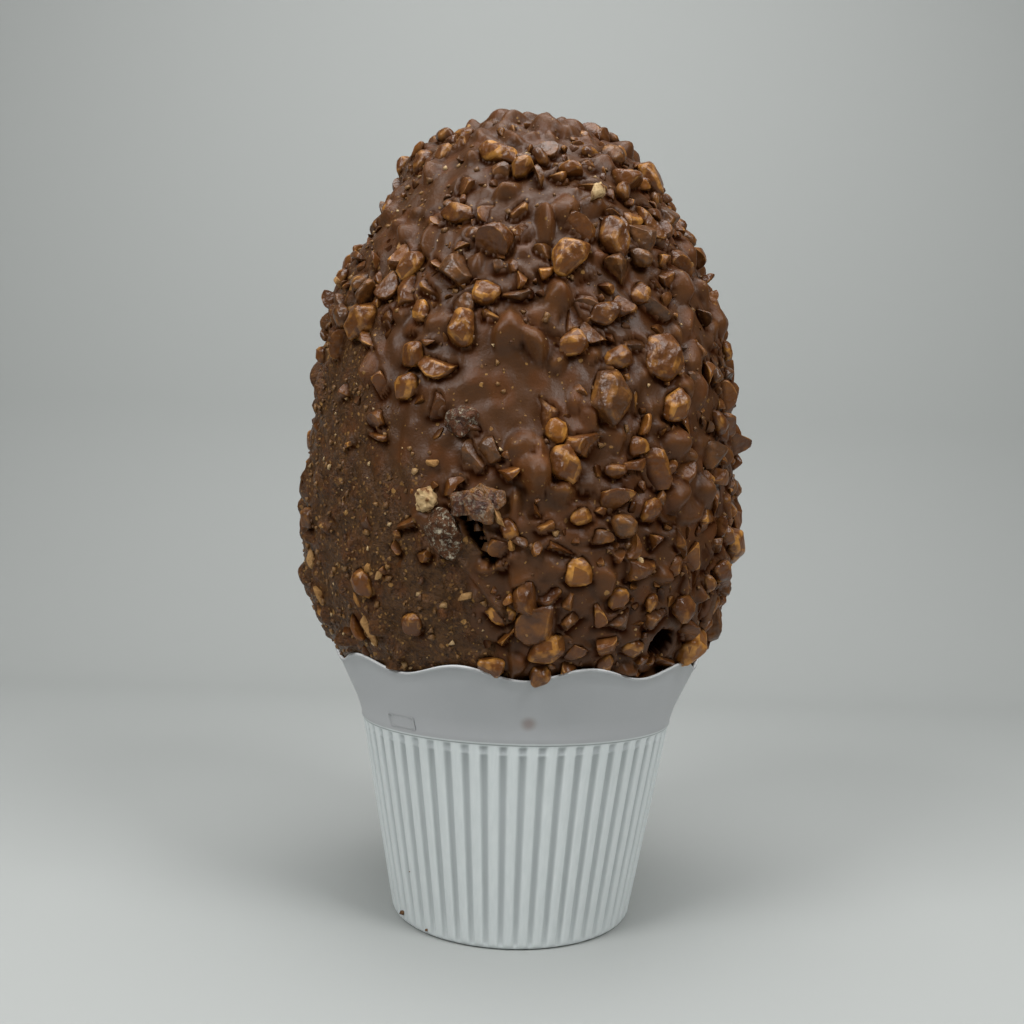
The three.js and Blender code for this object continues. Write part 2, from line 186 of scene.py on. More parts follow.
def make_material(name, look, *attributes):
    """A material of one shader. A look returns its inputs, and is given the place and attributes."""
    material = bpy.data.materials.new(name)
    material.use_nodes = True
    material.node_tree.nodes.clear()
    add = partial(add_node, material.node_tree)
    place = add("TexCoord", output="Object")
    shares = [add("Attribute", attribute_name=attribute, output="Fac") for attribute in attributes]
    add("OutputMaterial", add("BsdfPrincipled", **look(add, place, *shares)))
    return material


def polypropylene_look(add, place, groove, rim_highlight):
    """Milky polypropylene, moulded: a soft sheen, faint flow streaks and light that passes inside it, with
    painted shade in its grooves and on its band and a painted highlight on its rim.
    """
    height = add("SeparateXYZ", place, output="Z")
    stretched = add("Mapping", place, Scale=(1, 1, 0.02))
    streaks = add("TexNoise", stretched, Scale=per(1.1), Detail=2)
    clouds = add("TexNoise", place, Scale=per(30), Detail=1)
    ridges = add("Mix", streaks, "#d3dada", "#e3e8e8")
    # The grooves are painted grey as shade.
    fluted = add("Mix", groove, ridges, "#b6bcbd")
    # The band is painted greyer than the ridges, as shade.
    band_shade_colour = add("Mix", clouds, "#aeb0b2", "#b8b9bb")
    in_band = add("MapRange", height, (SHOULDER_Z - 1.2) * MM, (SHOULDER_Z - 0.4) * MM)
    wall = add("Mix", in_band, fluted, band_shade_colour)
    smear = add("VectorMath", place, turned(*SMEAR) * MM, operation="DISTANCE")
    near, far = (reach * MM for reach in SMEAR_REACH)
    smear = add("MapRange", smear, near, far, 0.5, 0, interpolation_type="SMOOTHSTEP")
    colour = add("Mix", smear, wall, "#7d5c4c")
    # A painted shadow line and a painted highlight line at the step under the band.
    for line_height, half_width, shade_or_highlight_colour in STEP_SHADE_AND_HIGHLIGHT_LINES:
        off = add("ABSOLUTE", add("SUBTRACT", height, line_height * MM))
        line = add("MapRange", off, 0.5 * half_width * MM, half_width * MM, 1, 0)
        colour = add("Mix", line, colour, shade_or_highlight_colour)
    # The rim's painted highlight.
    colour = add("Mix", rim_highlight, colour, "#f4f7f7")
    haze = add("TexNoise", place, Scale=per(0.9), Detail=2)
    bump = add("Bump", Height=haze, Strength=0.12, Distance=0.1 * MM)
    return dict(Base_Color=colour, Roughness=0.42, IOR=1.49, Normal=bump, Subsurface_Weight=0.25,
                Subsurface_Radius=(1, 1, 1), Subsurface_Scale=1.5 * MM)


cup_profile = [
    (0, FOOT_RECESS_DEPTH),
    (FOOT_RECESS_RADIUS - 1, FOOT_RECESS_DEPTH),
    (FOOT_RECESS_RADIUS + 0.4, 0),
    *arc((FOOT_RADIUS + 0.5 - FOOT_CORNER, FOOT_CORNER), FOOT_CORNER, -90, 0, 6),
    *[(wall_radius(z), z) for z in (10, 25, 40, 55)],
    *[(wall_radius(z), z) for z in (RING_Z - 0.7, RING_Z - 0.3, RING_Z + 0.3, RING_Z + 0.7)],
    (wall_radius(FLUTE_TOP_Z), FLUTE_TOP_Z),
    (wall_radius(FLUTE_TOP_Z + 0.9), FLUTE_TOP_Z + 0.9),
    (SHOULDER_RADIUS - 0.1, SHOULDER_Z - 1.2),
    (SHOULDER_RADIUS + 0.15, SHOULDER_Z - 0.9),
    *[(wall_radius(z), z) for z in (SHOULDER_Z + 1, BAND_Z - 0.6, BAND_Z + 0.6, 86, 92, RIM_Z - 1.2)],
    *arc((RIM_RADIUS - WALL / 2, RIM_Z - WALL / 2), WALL / 2, -20, 200, 7),
    *[(wall_radius(z) - WALL, z) for z in (92, 86, BAND_Z, SHOULDER_Z)],
    (SHOULDER_RADIUS - FLUTE_DEPTH - WALL, SHOULDER_Z - INSIDE_EASE),
    (FOOT_RADIUS - FLUTE_DEPTH - WALL, FLOOR_THICKNESS + INSIDE_EASE),
    (FOOT_RADIUS - FLUTE_DEPTH - WALL - INSIDE_EASE, FLOOR_THICKNESS),
    (0, FLOOR_THICKNESS),
]
cup = bmesh.new()
corners = [cup.verts.new(turned(FIRST_RIDGE_AZIMUTH, r, z)) for r, z in cup_profile]
outline = [cup.edges.new(pair) for pair in zip(corners, corners[1:])]
bmesh.ops.spin(cup, geom=corners + outline, cent=(0, 0, 0), axis=(0, 0, 1), angle=2 * math.pi,
               steps=FLUTES * STEPS_PER_FLUTE, use_merge=True)
bmesh.ops.remove_doubles(cup, verts=cup.verts, dist=0.01)
groove_shade_layer = cup.verts.layers.float.new("groove")
rim_highlight_layer = cup.verts.layers.float.new("rim_highlight")
for vertex in cup.verts:
    height = vertex.co.z
    radius = math.hypot(vertex.co.x, vertex.co.y)
    azimuth = azimuth_of(vertex.co)
    across = abs(((azimuth - FIRST_RIDGE_AZIMUTH) * FLUTES / 360 + 0.5) % 1 - 0.5)
    outside = radius > wall_radius(height) - WALL / 2
    if outside and FOOT_CORNER / 3 < height < FLUTE_TOP_Z + 0.1:
        groove = smoothstep(across, RIDGE_HALF, GROOVE_FROM)
        ring = RING_DEPTH * (abs(height - RING_Z) < RING_HALF)
        fade = smoothstep(height, 0, FOOT_CORNER)
        crown = CROWN * min(1, across / RIDGE_HALF) ** 2
        radius -= fade * (groove * (FLUTE_DEPTH - ring) + crown)
        # How much painted shade the groove gets, less towards the foot.
        vertex[groove_shade_layer] = groove * fade * lerp(GROOVE_SHADE_LEAST, 1, smoothstep(height, *GROOVE_SHADE_FADE))
    # The rim's painted highlight.
    if height > RIM_Z - RIM_HIGHLIGHT_DROP:
        vertex[rim_highlight_layer] = 1
    if height > BAND_Z:
        scallop = rim_scallop(azimuth) * (height - BAND_Z) / (RIM_Z - BAND_Z)
        radius += RIM_FLARE * scallop
        height += scallop
    vertex.co = turned(azimuth, radius, height)

# The shallow moulded tab on the band, with its corners eased.
TAB_INSET = 0.6
TAB_SINK = 0.7
TAB_AZIMUTH = -41
TAB_Z = 76.6
TAB_SIZE = (12.5, 0.9, 4.6)
TAB_EASE = 0.3
TAB_IN_WALL = 0.05
tab = bmesh.ops.create_cube(cup, size=1)["verts"]
bmesh.ops.scale(cup, vec=TAB_SIZE, verts=tab)
tab_edges = {edge for vertex in tab for edge in vertex.link_edges}
tab_front = min({f for vertex in tab for f in vertex.link_faces}, key=lambda f: f.calc_center_median().y)
bmesh.ops.inset_individual(cup, faces=[tab_front], thickness=TAB_INSET, depth=-TAB_SINK)
rounded = bmesh.ops.bevel(cup, geom=list(tab_edges), offset=TAB_EASE, segments=2, profile=0.5,
                          affect="EDGES", material=-1)
tab = {vertex for face in rounded["faces"] for vertex in face.verts} | set(tab_front.verts)
lean = math.atan2(BAND_RADIUS - SHOULDER_RADIUS, BAND_Z - SHOULDER_Z)
tab_place = turned(TAB_AZIMUTH, wall_radius(TAB_Z) - TAB_IN_WALL, TAB_Z)
tab_turn = Matrix.Rotation(math.radians(TAB_AZIMUTH), 3, "Z") @ Matrix.Rotation(lean, 3, "X")
bmesh.ops.rotate(cup, matrix=tab_turn, verts=list(tab))
bmesh.ops.translate(cup, vec=tab_place, verts=list(tab))
bmesh.ops.recalc_face_normals(cup, faces=cup.faces)
polypropylene = make_material("milky_polypropylene", polypropylene_look, "groove", "rim_highlight")
finish_piece("fluted_cup", cup, polypropylene, "milky_plastic", "cup")

# ------------------------ the egg's form
# The egg is cast as two half shells of milk chocolate that are joined down the front. Every piece
# of it lies on this form: a turned egg with its swellings, and a coat that steps up at the join.

EGG_RADIUS = 80.4
EGG_WIDEST_Z = 150
EGG_ABOVE = 152
EGG_BELOW = 92
FULLNESS_ABOVE = 2.35
FULLNESS_BELOW = 2.1
EGG_SHIFT = -1.6
EGG_LEAN = math.tan(math.radians(0.3))
SWELLS = [  # azimuth, height, reach and rise
    (-76, 284, 13, 6), (-80, 260, 14, -2.5), (62, 245, 20, -1.5), (-60, 226, 16, 2), (60, 140, 22, 1.5),
    (150, 210, 24, 2), (180, 152, 42, 2.2), (84, 288, 18, 2), (88, 150, 34, -1.5), (-84, 206, 16, -2),
]
JOIN_AZIMUTH_HIGH = -29
JOIN_AZIMUTH_LOW = -2
JOIN_BENDS_AT = 165
JOIN_BENDS_OVER = 60
COAT_STEP = 1.4
COAT_STEP_WIDTH = 7
COAT_STEP_FADE = 90
THIN_COAT_Z = 96
FULL_COAT_Z = 112
COAT_WAVES = ((0.6, 3, 19), (0.5, 5, -13))  # rise, number round the egg, and height for a radian's turn


def join_azimuth(height):
    bend = smoothstep((JOIN_BENDS_AT - height) / JOIN_BENDS_OVER, 0, 1)
    return lerp(JOIN_AZIMUTH_HIGH, JOIN_AZIMUTH_LOW, bend)


def past_join(azimuth, height):
    """Degrees from the join round to the right, from 0 up to 360."""
    return (azimuth - join_azimuth(height)) % 360


def latitude_at(height):
    reach = EGG_ABOVE if height > EGG_WIDEST_Z else EGG_BELOW
    return math.asin((height - EGG_WIDEST_Z) / reach)


def egg_profile(latitude):
    """The plain egg's radius and height, and the direction out of it in that plane."""
    rise = math.sin(latitude)
    reach = EGG_ABOVE if rise > 0 else EGG_BELOW
    fullness = FULLNESS_ABOVE if rise > 0 else FULLNESS_BELOW
    radius = EGG_RADIUS * math.sqrt(max(0, 1 - abs(rise) ** fullness))
    out = Vector((radius / EGG_RADIUS ** 2, rise / reach)).normalized()
    return radius, EGG_WIDEST_Z + rise * reach, out


def plain_point(azimuth, height):
    return turned(azimuth, egg_profile(latitude_at(height))[0], height)


swell_places = [(plain_point(azimuth, height), reach, rise) for azimuth, height, reach, rise in SWELLS]


def coat_rise(azimuth, radius, height, step_width=COAT_STEP_WIDTH):
    """How far the coat stands out from the plain egg."""
    past = past_join(azimuth, height)
    step = COAT_STEP * smoothstep(past, 0, step_width) * smoothstep(360 - past, 0, COAT_STEP_FADE)
    waves = sum(wave_rise * math.sin(math.radians(number * azimuth) + height / drop)
                for wave_rise, number, drop in COAT_WAVES)
    thickness = (radius / EGG_RADIUS) * smoothstep(height, THIN_COAT_Z, FULL_COAT_Z)
    rise = thickness * (step + waves)
    here = turned(azimuth, radius, height)
    for middle, reach, swell in swell_places:
        rise += swell * math.exp(-((here - middle).length / reach) ** 2)
    return rise


def shifted(point):
    """The egg stands a little to one side in the cup, and leans."""
    point.x += EGG_SHIFT + (point.z - RIM_Z) * EGG_LEAN
    return point


def shell_point(azimuth, latitude):
    radius, height, out = egg_profile(latitude)
    rise = coat_rise(azimuth, radius, height)
    return shifted(turned(azimuth, radius + rise * out.x, height + rise * out.y))


# ------------------------ chopped nuts
# Roasted hazelnuts, chopped and stirred into the last coat of chocolate, so a thin brown film covers
# them. It is thinnest over their sharp edges, where the golden nut shows through.

PLACED_NUTS = [  # azimuth, height, length, width, thickness and turn of those that stand out
    (19.5, 185.5, 17.5, 13, 11, 95),
    (35, 201, 18, 15, 8, 25),
    (10.5, 230.5, 16, 10.5, 8.5, 52),
    (23.3, 239, 15.5, 10.5, 9, 82),
    (54.5, 272, 15.5, 10.5, 9, 100),
    (-12.3, 270.5, 17.5, 8.5, 7.5, -35),
    (-46.5, 212, 15, 12, 9.5, 65),
    (-14.6, 205.5, 13.5, 10, 9, 80),
    (-16.5, 141.5, 17.5, 12.5, 7.5, 110),
    (9, 163, 13, 10.5, 9.5, 95),
    (37.7, 185, 14.5, 10, 8.5, 50),
    (56.5, 105.5, 15, 12.5, 10, 68),
    (7.8, 106.5, 13.5, 9, 8, 35),
    (70, 141, 16, 11, 9, -40),
    (-22, 247, 12.8, 8.5, 6.5, -15),
    (11, 202, 12.5, 9, 6.5, 25),
    (19.5, 213, 12.5, 9, 6.5, 20),
    (-26.4, 197.5, 10.6, 9, 8.5, 0),
    (-33, 230.7, 12.5, 9.5, 8, 60),
    (59, 132, 12.6, 9, 8.5, -30),
    (-26.1, 112.5, 9.8, 8, 6.5, 100),
    (-66.5, 146, 9, 8, 7, 90),
    (-89, 177, 11, 8, 7, 90),
    (-6.2, 99.8, 12, 8.5, 8, 10),
    (6.8, 97.6, 9, 8, 9, 80),
    (-20.4, 152, 9.5, 8, 8, 90),
    (-7.5, 152, 12.5, 11, 4.5, -20),
    (-62, 289, 9.5, 7, 7, 20),
    (-82, 280, 10, 8, 8, 60),
]
GOLDEN_NUT = 11  # the place of the one whose film is thinnest
PLACED_SEED = 90
PLACED_LIFT = 0.12  # how far the middle of a nut stands out, as a share of its thickness
TONE_STEP = 0.381  # from one listed nut to the next, so that neighbours differ
LEFT_NUTS = [  # the few between the join and the left side, given the same way
    (-24.6, 144.3, 13, 5.5, 7, 22),
    (-29.9, 136.8, 9, 7.5, 7, 40),
    (-21.7, 135.6, 8, 7, 5, 80),
    (-48.9, 187.4, 9, 6.5, 5, 60),
    (-56, 206, 12, 9, 8, 75),
    (-34, 128.5, 8, 4, 5, 110),
    (-44, 171, 8, 6, 4, 30),
    (-70, 158, 8, 6, 5, 90),
    (-46, 109, 12, 4, 5, 112),
    (-2.5, 133, 9, 4.5, 6, 70),
    (3, 150, 8, 4, 5, 120),
]
LEFT_SEED = 480
LEFT_LIFT = 0.1
LEFT_TONE_STEP = 0.618
CHOPPED_CORNERS = 8
CORNER_REACH = (1.1, 1.3)
CORNER_STRAY = 0.4  # radians
CHIP_CUTS = 3  # knife cuts that turn a rounded kernel into a chip
CHIP_CUT_REACH = (0.05, 0.7)  # from the kernel's middle, as shares of its radius
CHIP_CUT_LEVEL = (0.9, -0.3)  # how far up or down they face
CHIP_CUT_STRAY = 0.7
ONE_TURN = 6.28
SLIVER = 0.12  # edges shorter than this share of the kernel's radius are merged
CHIP_WAVE = (4, 0.7)  # size and height of the dents in a chip
NUT_WIDTH = (0.65, 0.95)
NUT_THICKNESS = (0.5, 0.85)
NUT_SLANT = 20
STREWN_LIFT = (0.02, 0.18)
NUT_LOWEST = 90
NUT_HIGHEST = 299
TRIES_PER_NUT = 60
BARE_PATCHES = [(-4, 183, 17), (-25, 166, 13), (-35, 262, 14)]  # azimuth, height and reach
QUIET_PATCHES = [  # where the chocolate lies thick over the smaller nuts
    (-4, 183, 22), (-25, 166, 20), (-35, 262, 17), (-12, 192, 14),
    (12, 192, 9), (-9.5, 142.5, 15.5), (43.5, 108.5, 15), (16, 122, 8),
    (30, 222, 8), (3, 252, 9), (52, 190, 8), (-76, 256, 15),
]
PATCH_STEEPNESS = 4
SPARSE_REACH = 72  # degrees to the left of the join where nuts are few
SPARSE_FADE = 45
SPARSE_BELOW_Z = 200  # and where they are fewest
BACK_SHARE = 0.85
GOLDEN_ANGLE = math.pi * (3 - math.sqrt(5))
COVER_PATCH = 12  # size of the places where the chocolate has run over the nuts or left them free
COVER_FROM = 0.19
RUN_OVER = [(-20, 297, 22), (-42, 262, 16), (22, 282, 9)]  # where it has run over nearly all of them
RUN_OVER_LEAD = 0.5  # what such a place adds to the noise in its middle
LEFT_SINK = 0.12  # how much deeper a nut lies in the dull coat, as a share of its thickness
DULL_BENDS_AT = 180
DULL_EDGE = (-27, -3)  # azimuth where the dull coat begins, above and below its bend
DULL_FADE = (26, 6)  # degrees over which it sets in
DULL_ENDS = (110, 160)  # degrees from its edge, round to the left, between which it ends
DULL_TOP = (190, 240)  # heights between which it thins out
DULL_TOP_LOSS = 0.75
CELL = 13  # the side of the cells that nuts are looked up in
CELLS_ROUND = list(product((-1, 0, 1), repeat=3))
AZIMUTH_STEP = 0.5  # small steps in degrees and in radians, which find how the shell slopes
LATITUDE_STEP = 0.01


def seeded_random(seed):
    """The same draws every time, from a seed."""
    state = seed

    def draw():
        nonlocal state
        state = (state * 1664525 + 1013904223) % 2 ** 32
        return state / 2 ** 32
    return draw


def nut_share(azimuth, height, share_low, share_high, patches):
    """The share of nuts that stay at a place: fewer to the left of the join and in the bare patches."""
    past = past_join(azimuth, height)
    sparse = share_high if height > SPARSE_BELOW_Z else share_low
    left = lerp(sparse, BACK_SHARE, smoothstep(360 - past, SPARSE_REACH, SPARSE_REACH + SPARSE_FADE))
    share = 1 if past < 180 else left
    here = plain_point(azimuth, height)
    for patch_azimuth, patch_height, reach in patches:
        distance = (here - plain_point(patch_azimuth, patch_height)).length
        share *= 1 - math.exp(-(distance / reach) ** PATCH_STEEPNESS)
    return share


def nut_at(azimuth, height, length, width, thickness, turn, **more):
    """A nut's place and size; it lies flat where nothing more is said."""
    return {"place": (azimuth, height), "size": (length, width, thickness), "turn": turn,
            "middle": plain_point(azimuth, height), "tip": 0, "roll": 0, "covered": False, **more}


def cell_of(place, steps=(0, 0, 0)):
    return tuple(math.floor(c / CELL) + step for c, step in zip(place, steps))


def strew(nuts, count, shortest, longest, seed, clearance=0.4, shares=(0.1, 0.4), lifts=STREWN_LIFT,
          patches=BARE_PATCHES, evenness=0):
    """Strews one size of nut over the shell, clear of the nuts that are there already."""
    cells = {}
    for nut in nuts:
        cells.setdefault(cell_of(nut["middle"]), []).append(nut)
    random = seeded_random(seed)
    laid = []
    for _ in range(count * TRIES_PER_NUT):
        if len(laid) == count:
            break
        turn, level, stay, length, width, thickness, tip, roll, around = [random() for _ in range(9)]
        azimuth = 360 * around - 180
        height = lerp(NUT_LOWEST, NUT_HIGHEST, level)
        girth = egg_profile(latitude_at(height))[0] / EGG_RADIUS
        if stay > nut_share(azimuth, height, *shares, patches) * lerp(1, girth, evenness):
            continue
        long_side = lerp(shortest, longest, length)
        middle = plain_point(azimuth, height)
        near = [other for steps in CELLS_ROUND for other in cells.get(cell_of(middle, steps), [])]
        if any((middle - n["middle"]).length < clearance * (long_side + n["size"][0]) for n in near):
            continue
        nut = nut_at(azimuth, height, long_side, long_side * lerp(*NUT_WIDTH, width),
                     long_side * lerp(*NUT_THICKNESS, thickness), 360 * turn,
                     tip=NUT_SLANT * (2 * tip - 1), roll=NUT_SLANT * (2 * roll - 1),
                     lift=lerp(*lifts, tip), seed=seed + len(laid), tone=roll)
        cells.setdefault(cell_of(middle), []).append(nut)
        laid.append(nut)
    nuts += laid
    return laid


def grainy(azimuth, height):
    """1 low on the left half, where the coat is thin, dull and full of grains, and 0 on the right."""
    low = smoothstep((DULL_BENDS_AT - height) / JOIN_BENDS_OVER, 0, 1)
    left = (lerp(*DULL_EDGE, low) - azimuth) % 360
    side = smoothstep(left, 0, lerp(*DULL_FADE, low)) * (1 - smoothstep(left, *DULL_ENDS))
    return side * (1 - DULL_TOP_LOSS * smoothstep(height, *DULL_TOP))


def run_over(nut):
    """Whether the chocolate has run right over a nut, so that only its form shows."""
    near = max(math.exp(-((nut["middle"] - plain_point(*place)).length / reach) ** 2)
               for *place, reach in RUN_OVER)
    return noise.noise(nut["middle"] / COVER_PATCH) + RUN_OVER_LEAD * near > COVER_FROM


def new_nut():
    """An empty mesh with what a nut notes: its eased edges, its height and its tone."""
    bm = bmesh.new()
    bm.loops.layers.float.new("edge")
    bm.verts.layers.float.new("height")
    bm.verts.layers.float.new("tone")
    return bm


def on_ball(level, angle):
    girth = math.sqrt(1 - level * level)
    return Vector((girth * math.cos(angle), girth * math.sin(angle), level))


def wrinkle(bm, seed, size, rise):
    bm.normal_update()
    offset = Vector((seed, 0, 0))
    for vertex in bm.verts:
        vertex.co += vertex.normal * rise * noise.noise(vertex.co / size + offset)


def nut_chip(nut, roundness=2):
    """A nut's own mesh, a rounded kernel with a few flat knife cuts, in its own frame."""
    random = seeded_random(nut["seed"])
    bm = new_nut()
    bmesh.ops.create_icosphere(bm, subdivisions=roundness, radius=1)
    turn = ONE_TURN * nut["tone"]
    for i in range(CHIP_CUTS):
        level = lerp(*CHIP_CUT_LEVEL, random())
        way = on_ball(level, turn + ONE_TURN * (i + CHIP_CUT_STRAY * random()) / CHIP_CUTS)
        every = [*bm.verts, *bm.edges, *bm.faces]
        cut = bmesh.ops.bisect_plane(bm, geom=every, plane_co=way * lerp(*CHIP_CUT_REACH, random()),
                                     plane_no=way, clear_outer=True)["geom_cut"]
        bmesh.ops.edgeloop_fill(bm, edges=[e for e in cut if isinstance(e, bmesh.types.BMEdge)])
    bmesh.ops.remove_doubles(bm, verts=bm.verts, dist=SLIVER)
    bmesh.ops.scale(bm, vec=Vector(nut["size"]) / 2, verts=bm.verts)
    wrinkle(bm, nut["seed"], *CHIP_WAVE)
    return bm


def nut_hull(nut):
    """A nut's own mesh, the hull of a few uneven corners, in its own frame."""
    random = seeded_random(nut["seed"])
    bm = new_nut()
    corners = nut.get("corners", CHOPPED_CORNERS)
    half = Vector(nut["size"]) / 2
    for i in range(corners):
        corner = on_ball(1 - (2 * i + 1) / corners, i * GOLDEN_ANGLE + CORNER_STRAY * (2 * random() - 1))
        bm.verts.new(corner * lerp(*CORNER_REACH, random()) * half)
    hull = bmesh.ops.convex_hull(bm, input=bm.verts)
    inside = {v for v in hull["geom_interior"] + hull["geom_unused"] if isinstance(v, bmesh.types.BMVert)}
    bmesh.ops.delete(bm, geom=list(inside), context="VERTS")
    return bm


SHARP_ANGLE = math.radians(32)


def ease_edges(bm, width, segments):
    """Rounds a nut's sharp edges and marks them."""
    edge = bm.loops.layers.float["edge"]
    sharp = [e for e in bm.edges if e.calc_face_angle(0) > SHARP_ANGLE]
    eased = bmesh.ops.bevel(bm, geom=sharp, offset=width, segments=segments, profile=0.5,
                            affect="EDGES", clamp_overlap=True, material=-1)["faces"]
    for face in eased:
        for loop in face.loops:
            loop[edge] = 1


# Spacing, share of cells without one, radius in cells, darkest and lightest colour.
NUT_FLECKS = [(2.6, 0.66, 0.24, "#835529", "#ad7f48")]
FLECK_PLENTY = 0.4
CUP_GAP = 0.3  # least distance between the cup and what lies near it
OVERHANG = 5  # how far below the rim one of the placed nuts may hang outside the cup


def clear_of_cup(point, overhang=0):
    """Moves a point out of the cup's wall, up over its rim or in from its side."""
    radius = math.hypot(point.x, point.y)
    azimuth = azimuth_of(point)
    top = RIM_Z + rim_scallop(azimuth) + CUP_GAP
    inside = wall_radius(point.z) - WALL - CUP_GAP
    if point.z > top or radius < inside:
        return point
    if top - point.z < overhang and radius > wall_radius(point.z) + CUP_GAP:
        return point
    if top - point.z < radius - inside:
        return Vector((point.x, point.y, top))
    return turned(azimuth, inside, point.z)


def shell_frame(azimuth, height):
    """A frame on the shell: its x axis is level, and its z axis points out."""
    latitude = latitude_at(height)
    right = shell_point(azimuth + AZIMUTH_STEP, latitude)
    east = (right - shell_point(azimuth - AZIMUTH_STEP, latitude)).normalized()
    above = shell_point(azimuth, latitude + LATITUDE_STEP)
    out = east.cross(above - shell_point(azimuth, latitude - LATITUDE_STEP)).normalized()
    axes = Matrix((east, out.cross(east), out)).transposed().to_4x4()
    return Matrix.Translation(shell_point(azimuth, latitude)) @ axes


def lay_nut(nut, own):
    """Turns a nut and lays it on the shell, and notes how far each vertex is above the chocolate."""
    height, shade = (own.verts.layers.float[name] for name in ("height", "tone"))
    turns = [Matrix.Rotation(math.radians(nut[name]), 4, axis)
             for name, axis in (("turn", "Z"), ("roll", "Y"), ("tip", "X"))]
    lift = Matrix.Translation((0, 0, nut["size"][2] * nut["lift"]))
    bmesh.ops.transform(own, matrix=lift @ turns[0] @ turns[1] @ turns[2], verts=own.verts)
    for vertex in own.verts:
        vertex[height] = vertex.co.z
        vertex[shade] = nut["tone"]
    bmesh.ops.transform(own, matrix=shell_frame(*nut["place"]), verts=own.verts)
    for vertex in own.verts:
        vertex.co = clear_of_cup(vertex.co, nut.get("overhang", 0))


scratch = bpy.data.meshes.new("scratch")


def join_to(bm, own):
    own.to_mesh(scratch)
    own.free()
    bm.from_mesh(scratch)


def soften(bm, factor):
    bmesh.ops.smooth_vert(bm, verts=bm.verts, factor=factor, use_axis_x=True, use_axis_y=True,
                          use_axis_z=True)


def chopped_nuts(nuts, make, bevel, softness=0.3, covered=False):
    """One mesh of the nuts that stand free, or of those that the chocolate has run over."""
    bm = bmesh.new()
    for nut in [nut for nut in nuts if nut["covered"] == covered]:
        own = make(nut)
        ease_edges(own, bevel, segments=1)
        soften(own, softness)
        lay_nut(nut, own)
        join_to(bm, own)
    return bm


def add_flecks(add, place, colour, kinds, plenty=0):
    """Sprinkles ragged grains on a colour, more where there is plenty; returns it and their height."""
    wobble = add("TexNoise", place, Scale=per(1.2), Detail=1, output="Color")
    wobble_size = add("VectorMath", wobble, 0.9 * MM, operation="SCALE")
    ragged = add("VectorMath", place, wobble_size, operation="ADD")
    stand = 0
    for spacing, bare_share, radius, dark, light in kinds:
        distance = add("TexVoronoi", ragged, Scale=per(spacing))
        cell = add("TexVoronoi", ragged, Scale=per(spacing), output="Color")
        draw = add("MULTIPLY_ADD", plenty, FLECK_PLENTY, add("SeparateColor", cell, output="Red"))
        hue = add("SeparateColor", cell, output="Green")
        reach = add("MapRange", draw, bare_share, 1, 0, radius)
        spare = add("SUBTRACT", reach, distance)
        fleck = add("MapRange", spare, 0, 0.06)
        fleck_colour = add("Mix", hue, dark, light)
        colour = add("Mix", fleck, colour, fleck_colour)
        stand = add("MULTIPLY_ADD", fleck, 0.4, stand)
    return colour, stand


def coated_hazelnut_look(add, place, edge, height, tone):
    """Roasted hazelnut under a thin film of milk chocolate: satin brown, golden on its edges, and painted
    dark as shade towards its foot.
    """
    patches = add("TexNoise", place, Scale=per(4), Detail=3)
    film = add("TexNoise", place, Scale=per(1.6), Detail=2)
    film_colour = add("Mix", tone, "#4b2911", "#6e4119")
    thick = add("MapRange", tone, 0.15, 0.3, 1, 0)
    film_colour = add("Mix", thick, film_colour, "#563820")
    thin = add("MapRange", patches, 0.45, 0.75)
    thin_colour = add("Mix", thin, film_colour, "#7c4c1c")
    bare = add("MapRange", tone, 0.92, 1, 0, 0.75)
    thin_colour = add("Mix", bare, thin_colour, "#8c571f")
    worn = add("MapRange", patches, 0.45, 0.65)
    worn_edge = add("MULTIPLY", add("MULTIPLY", edge, worn), tone)
    golden = add("Mix", worn_edge, thin_colour, "#c68a3c")
    golden, stand = add_flecks(add, place, golden, NUT_FLECKS)
    # Painted shade: low on the nut, where it meets the chocolate, it is painted dark and its sheen fades.
    clear = add("MapRange", height, -0.3, 2, interpolation_type="SMOOTHSTEP")
    runs = add("MapRange", add("TexNoise", place, Scale=per(8), Detail=2), 0.42, 0.58)
    foot_shade = add("Mix", runs, "#2b1206", "#4a2d17")
    sheen = add("MULTIPLY", clear, 0.4)
    colour = add("Mix", clear, foot_shade, golden)
    roughness = add("MapRange", patches, 0.3, 0.7, 0.28, 0.42)
    dents = add("TexNoise", place, Scale=per(3.6), Detail=1)
    uneven = add("ADD", add("MULTIPLY_ADD", dents, 3, film), stand)
    bump = add("Bump", Height=uneven, Strength=0.8, Distance=0.4 * MM)
    return dict(Base_Color=colour, Roughness=roughness, Specular_IOR_Level=sheen, Normal=bump)


coated_hazelnut = make_material("coated_hazelnut", coated_hazelnut_look, "edge", "height", "tone")
placed = [nut_at(*nut, lift=PLACED_LIFT, seed=PLACED_SEED + i, overhang=OVERHANG,
                 tone=1 if i == GOLDEN_NUT else lerp(0.2, 0.85, i * TONE_STEP % 1))
          for i, nut in enumerate(PLACED_NUTS)]
nuts = list(placed)
large = strew(nuts, 112, 10.5, 12.9, seed=1207) + strew(nuts, 96, 8.5, 10.5, seed=4311)
medium, small, tiny = [
    strew(nuts, count, shortest, longest, seed, clearance, shares, lifts, QUIET_PATCHES, evenness=1)
    for count, shortest, longest, seed, clearance, shares, lifts in (
        (500, 12, 17, 5077, 0.28, (0.05, 0.28), (-0.15, 0.15)),
        (440, 8, 12, 9341, 0.27, (0.14, 0.28), (-0.2, 0.12)),
        (700, 4, 8, 12007, 0.27, (0.05, 0.3), (-0.1, 0.2)),
    )]
for nut in large + medium + small:
    nut["covered"] = run_over(nut)
for nut in medium + small:
    if grainy(*nut["place"]) > 0.5:
        nut["covered"] = True
        nut["lift"] -= LEFT_SINK
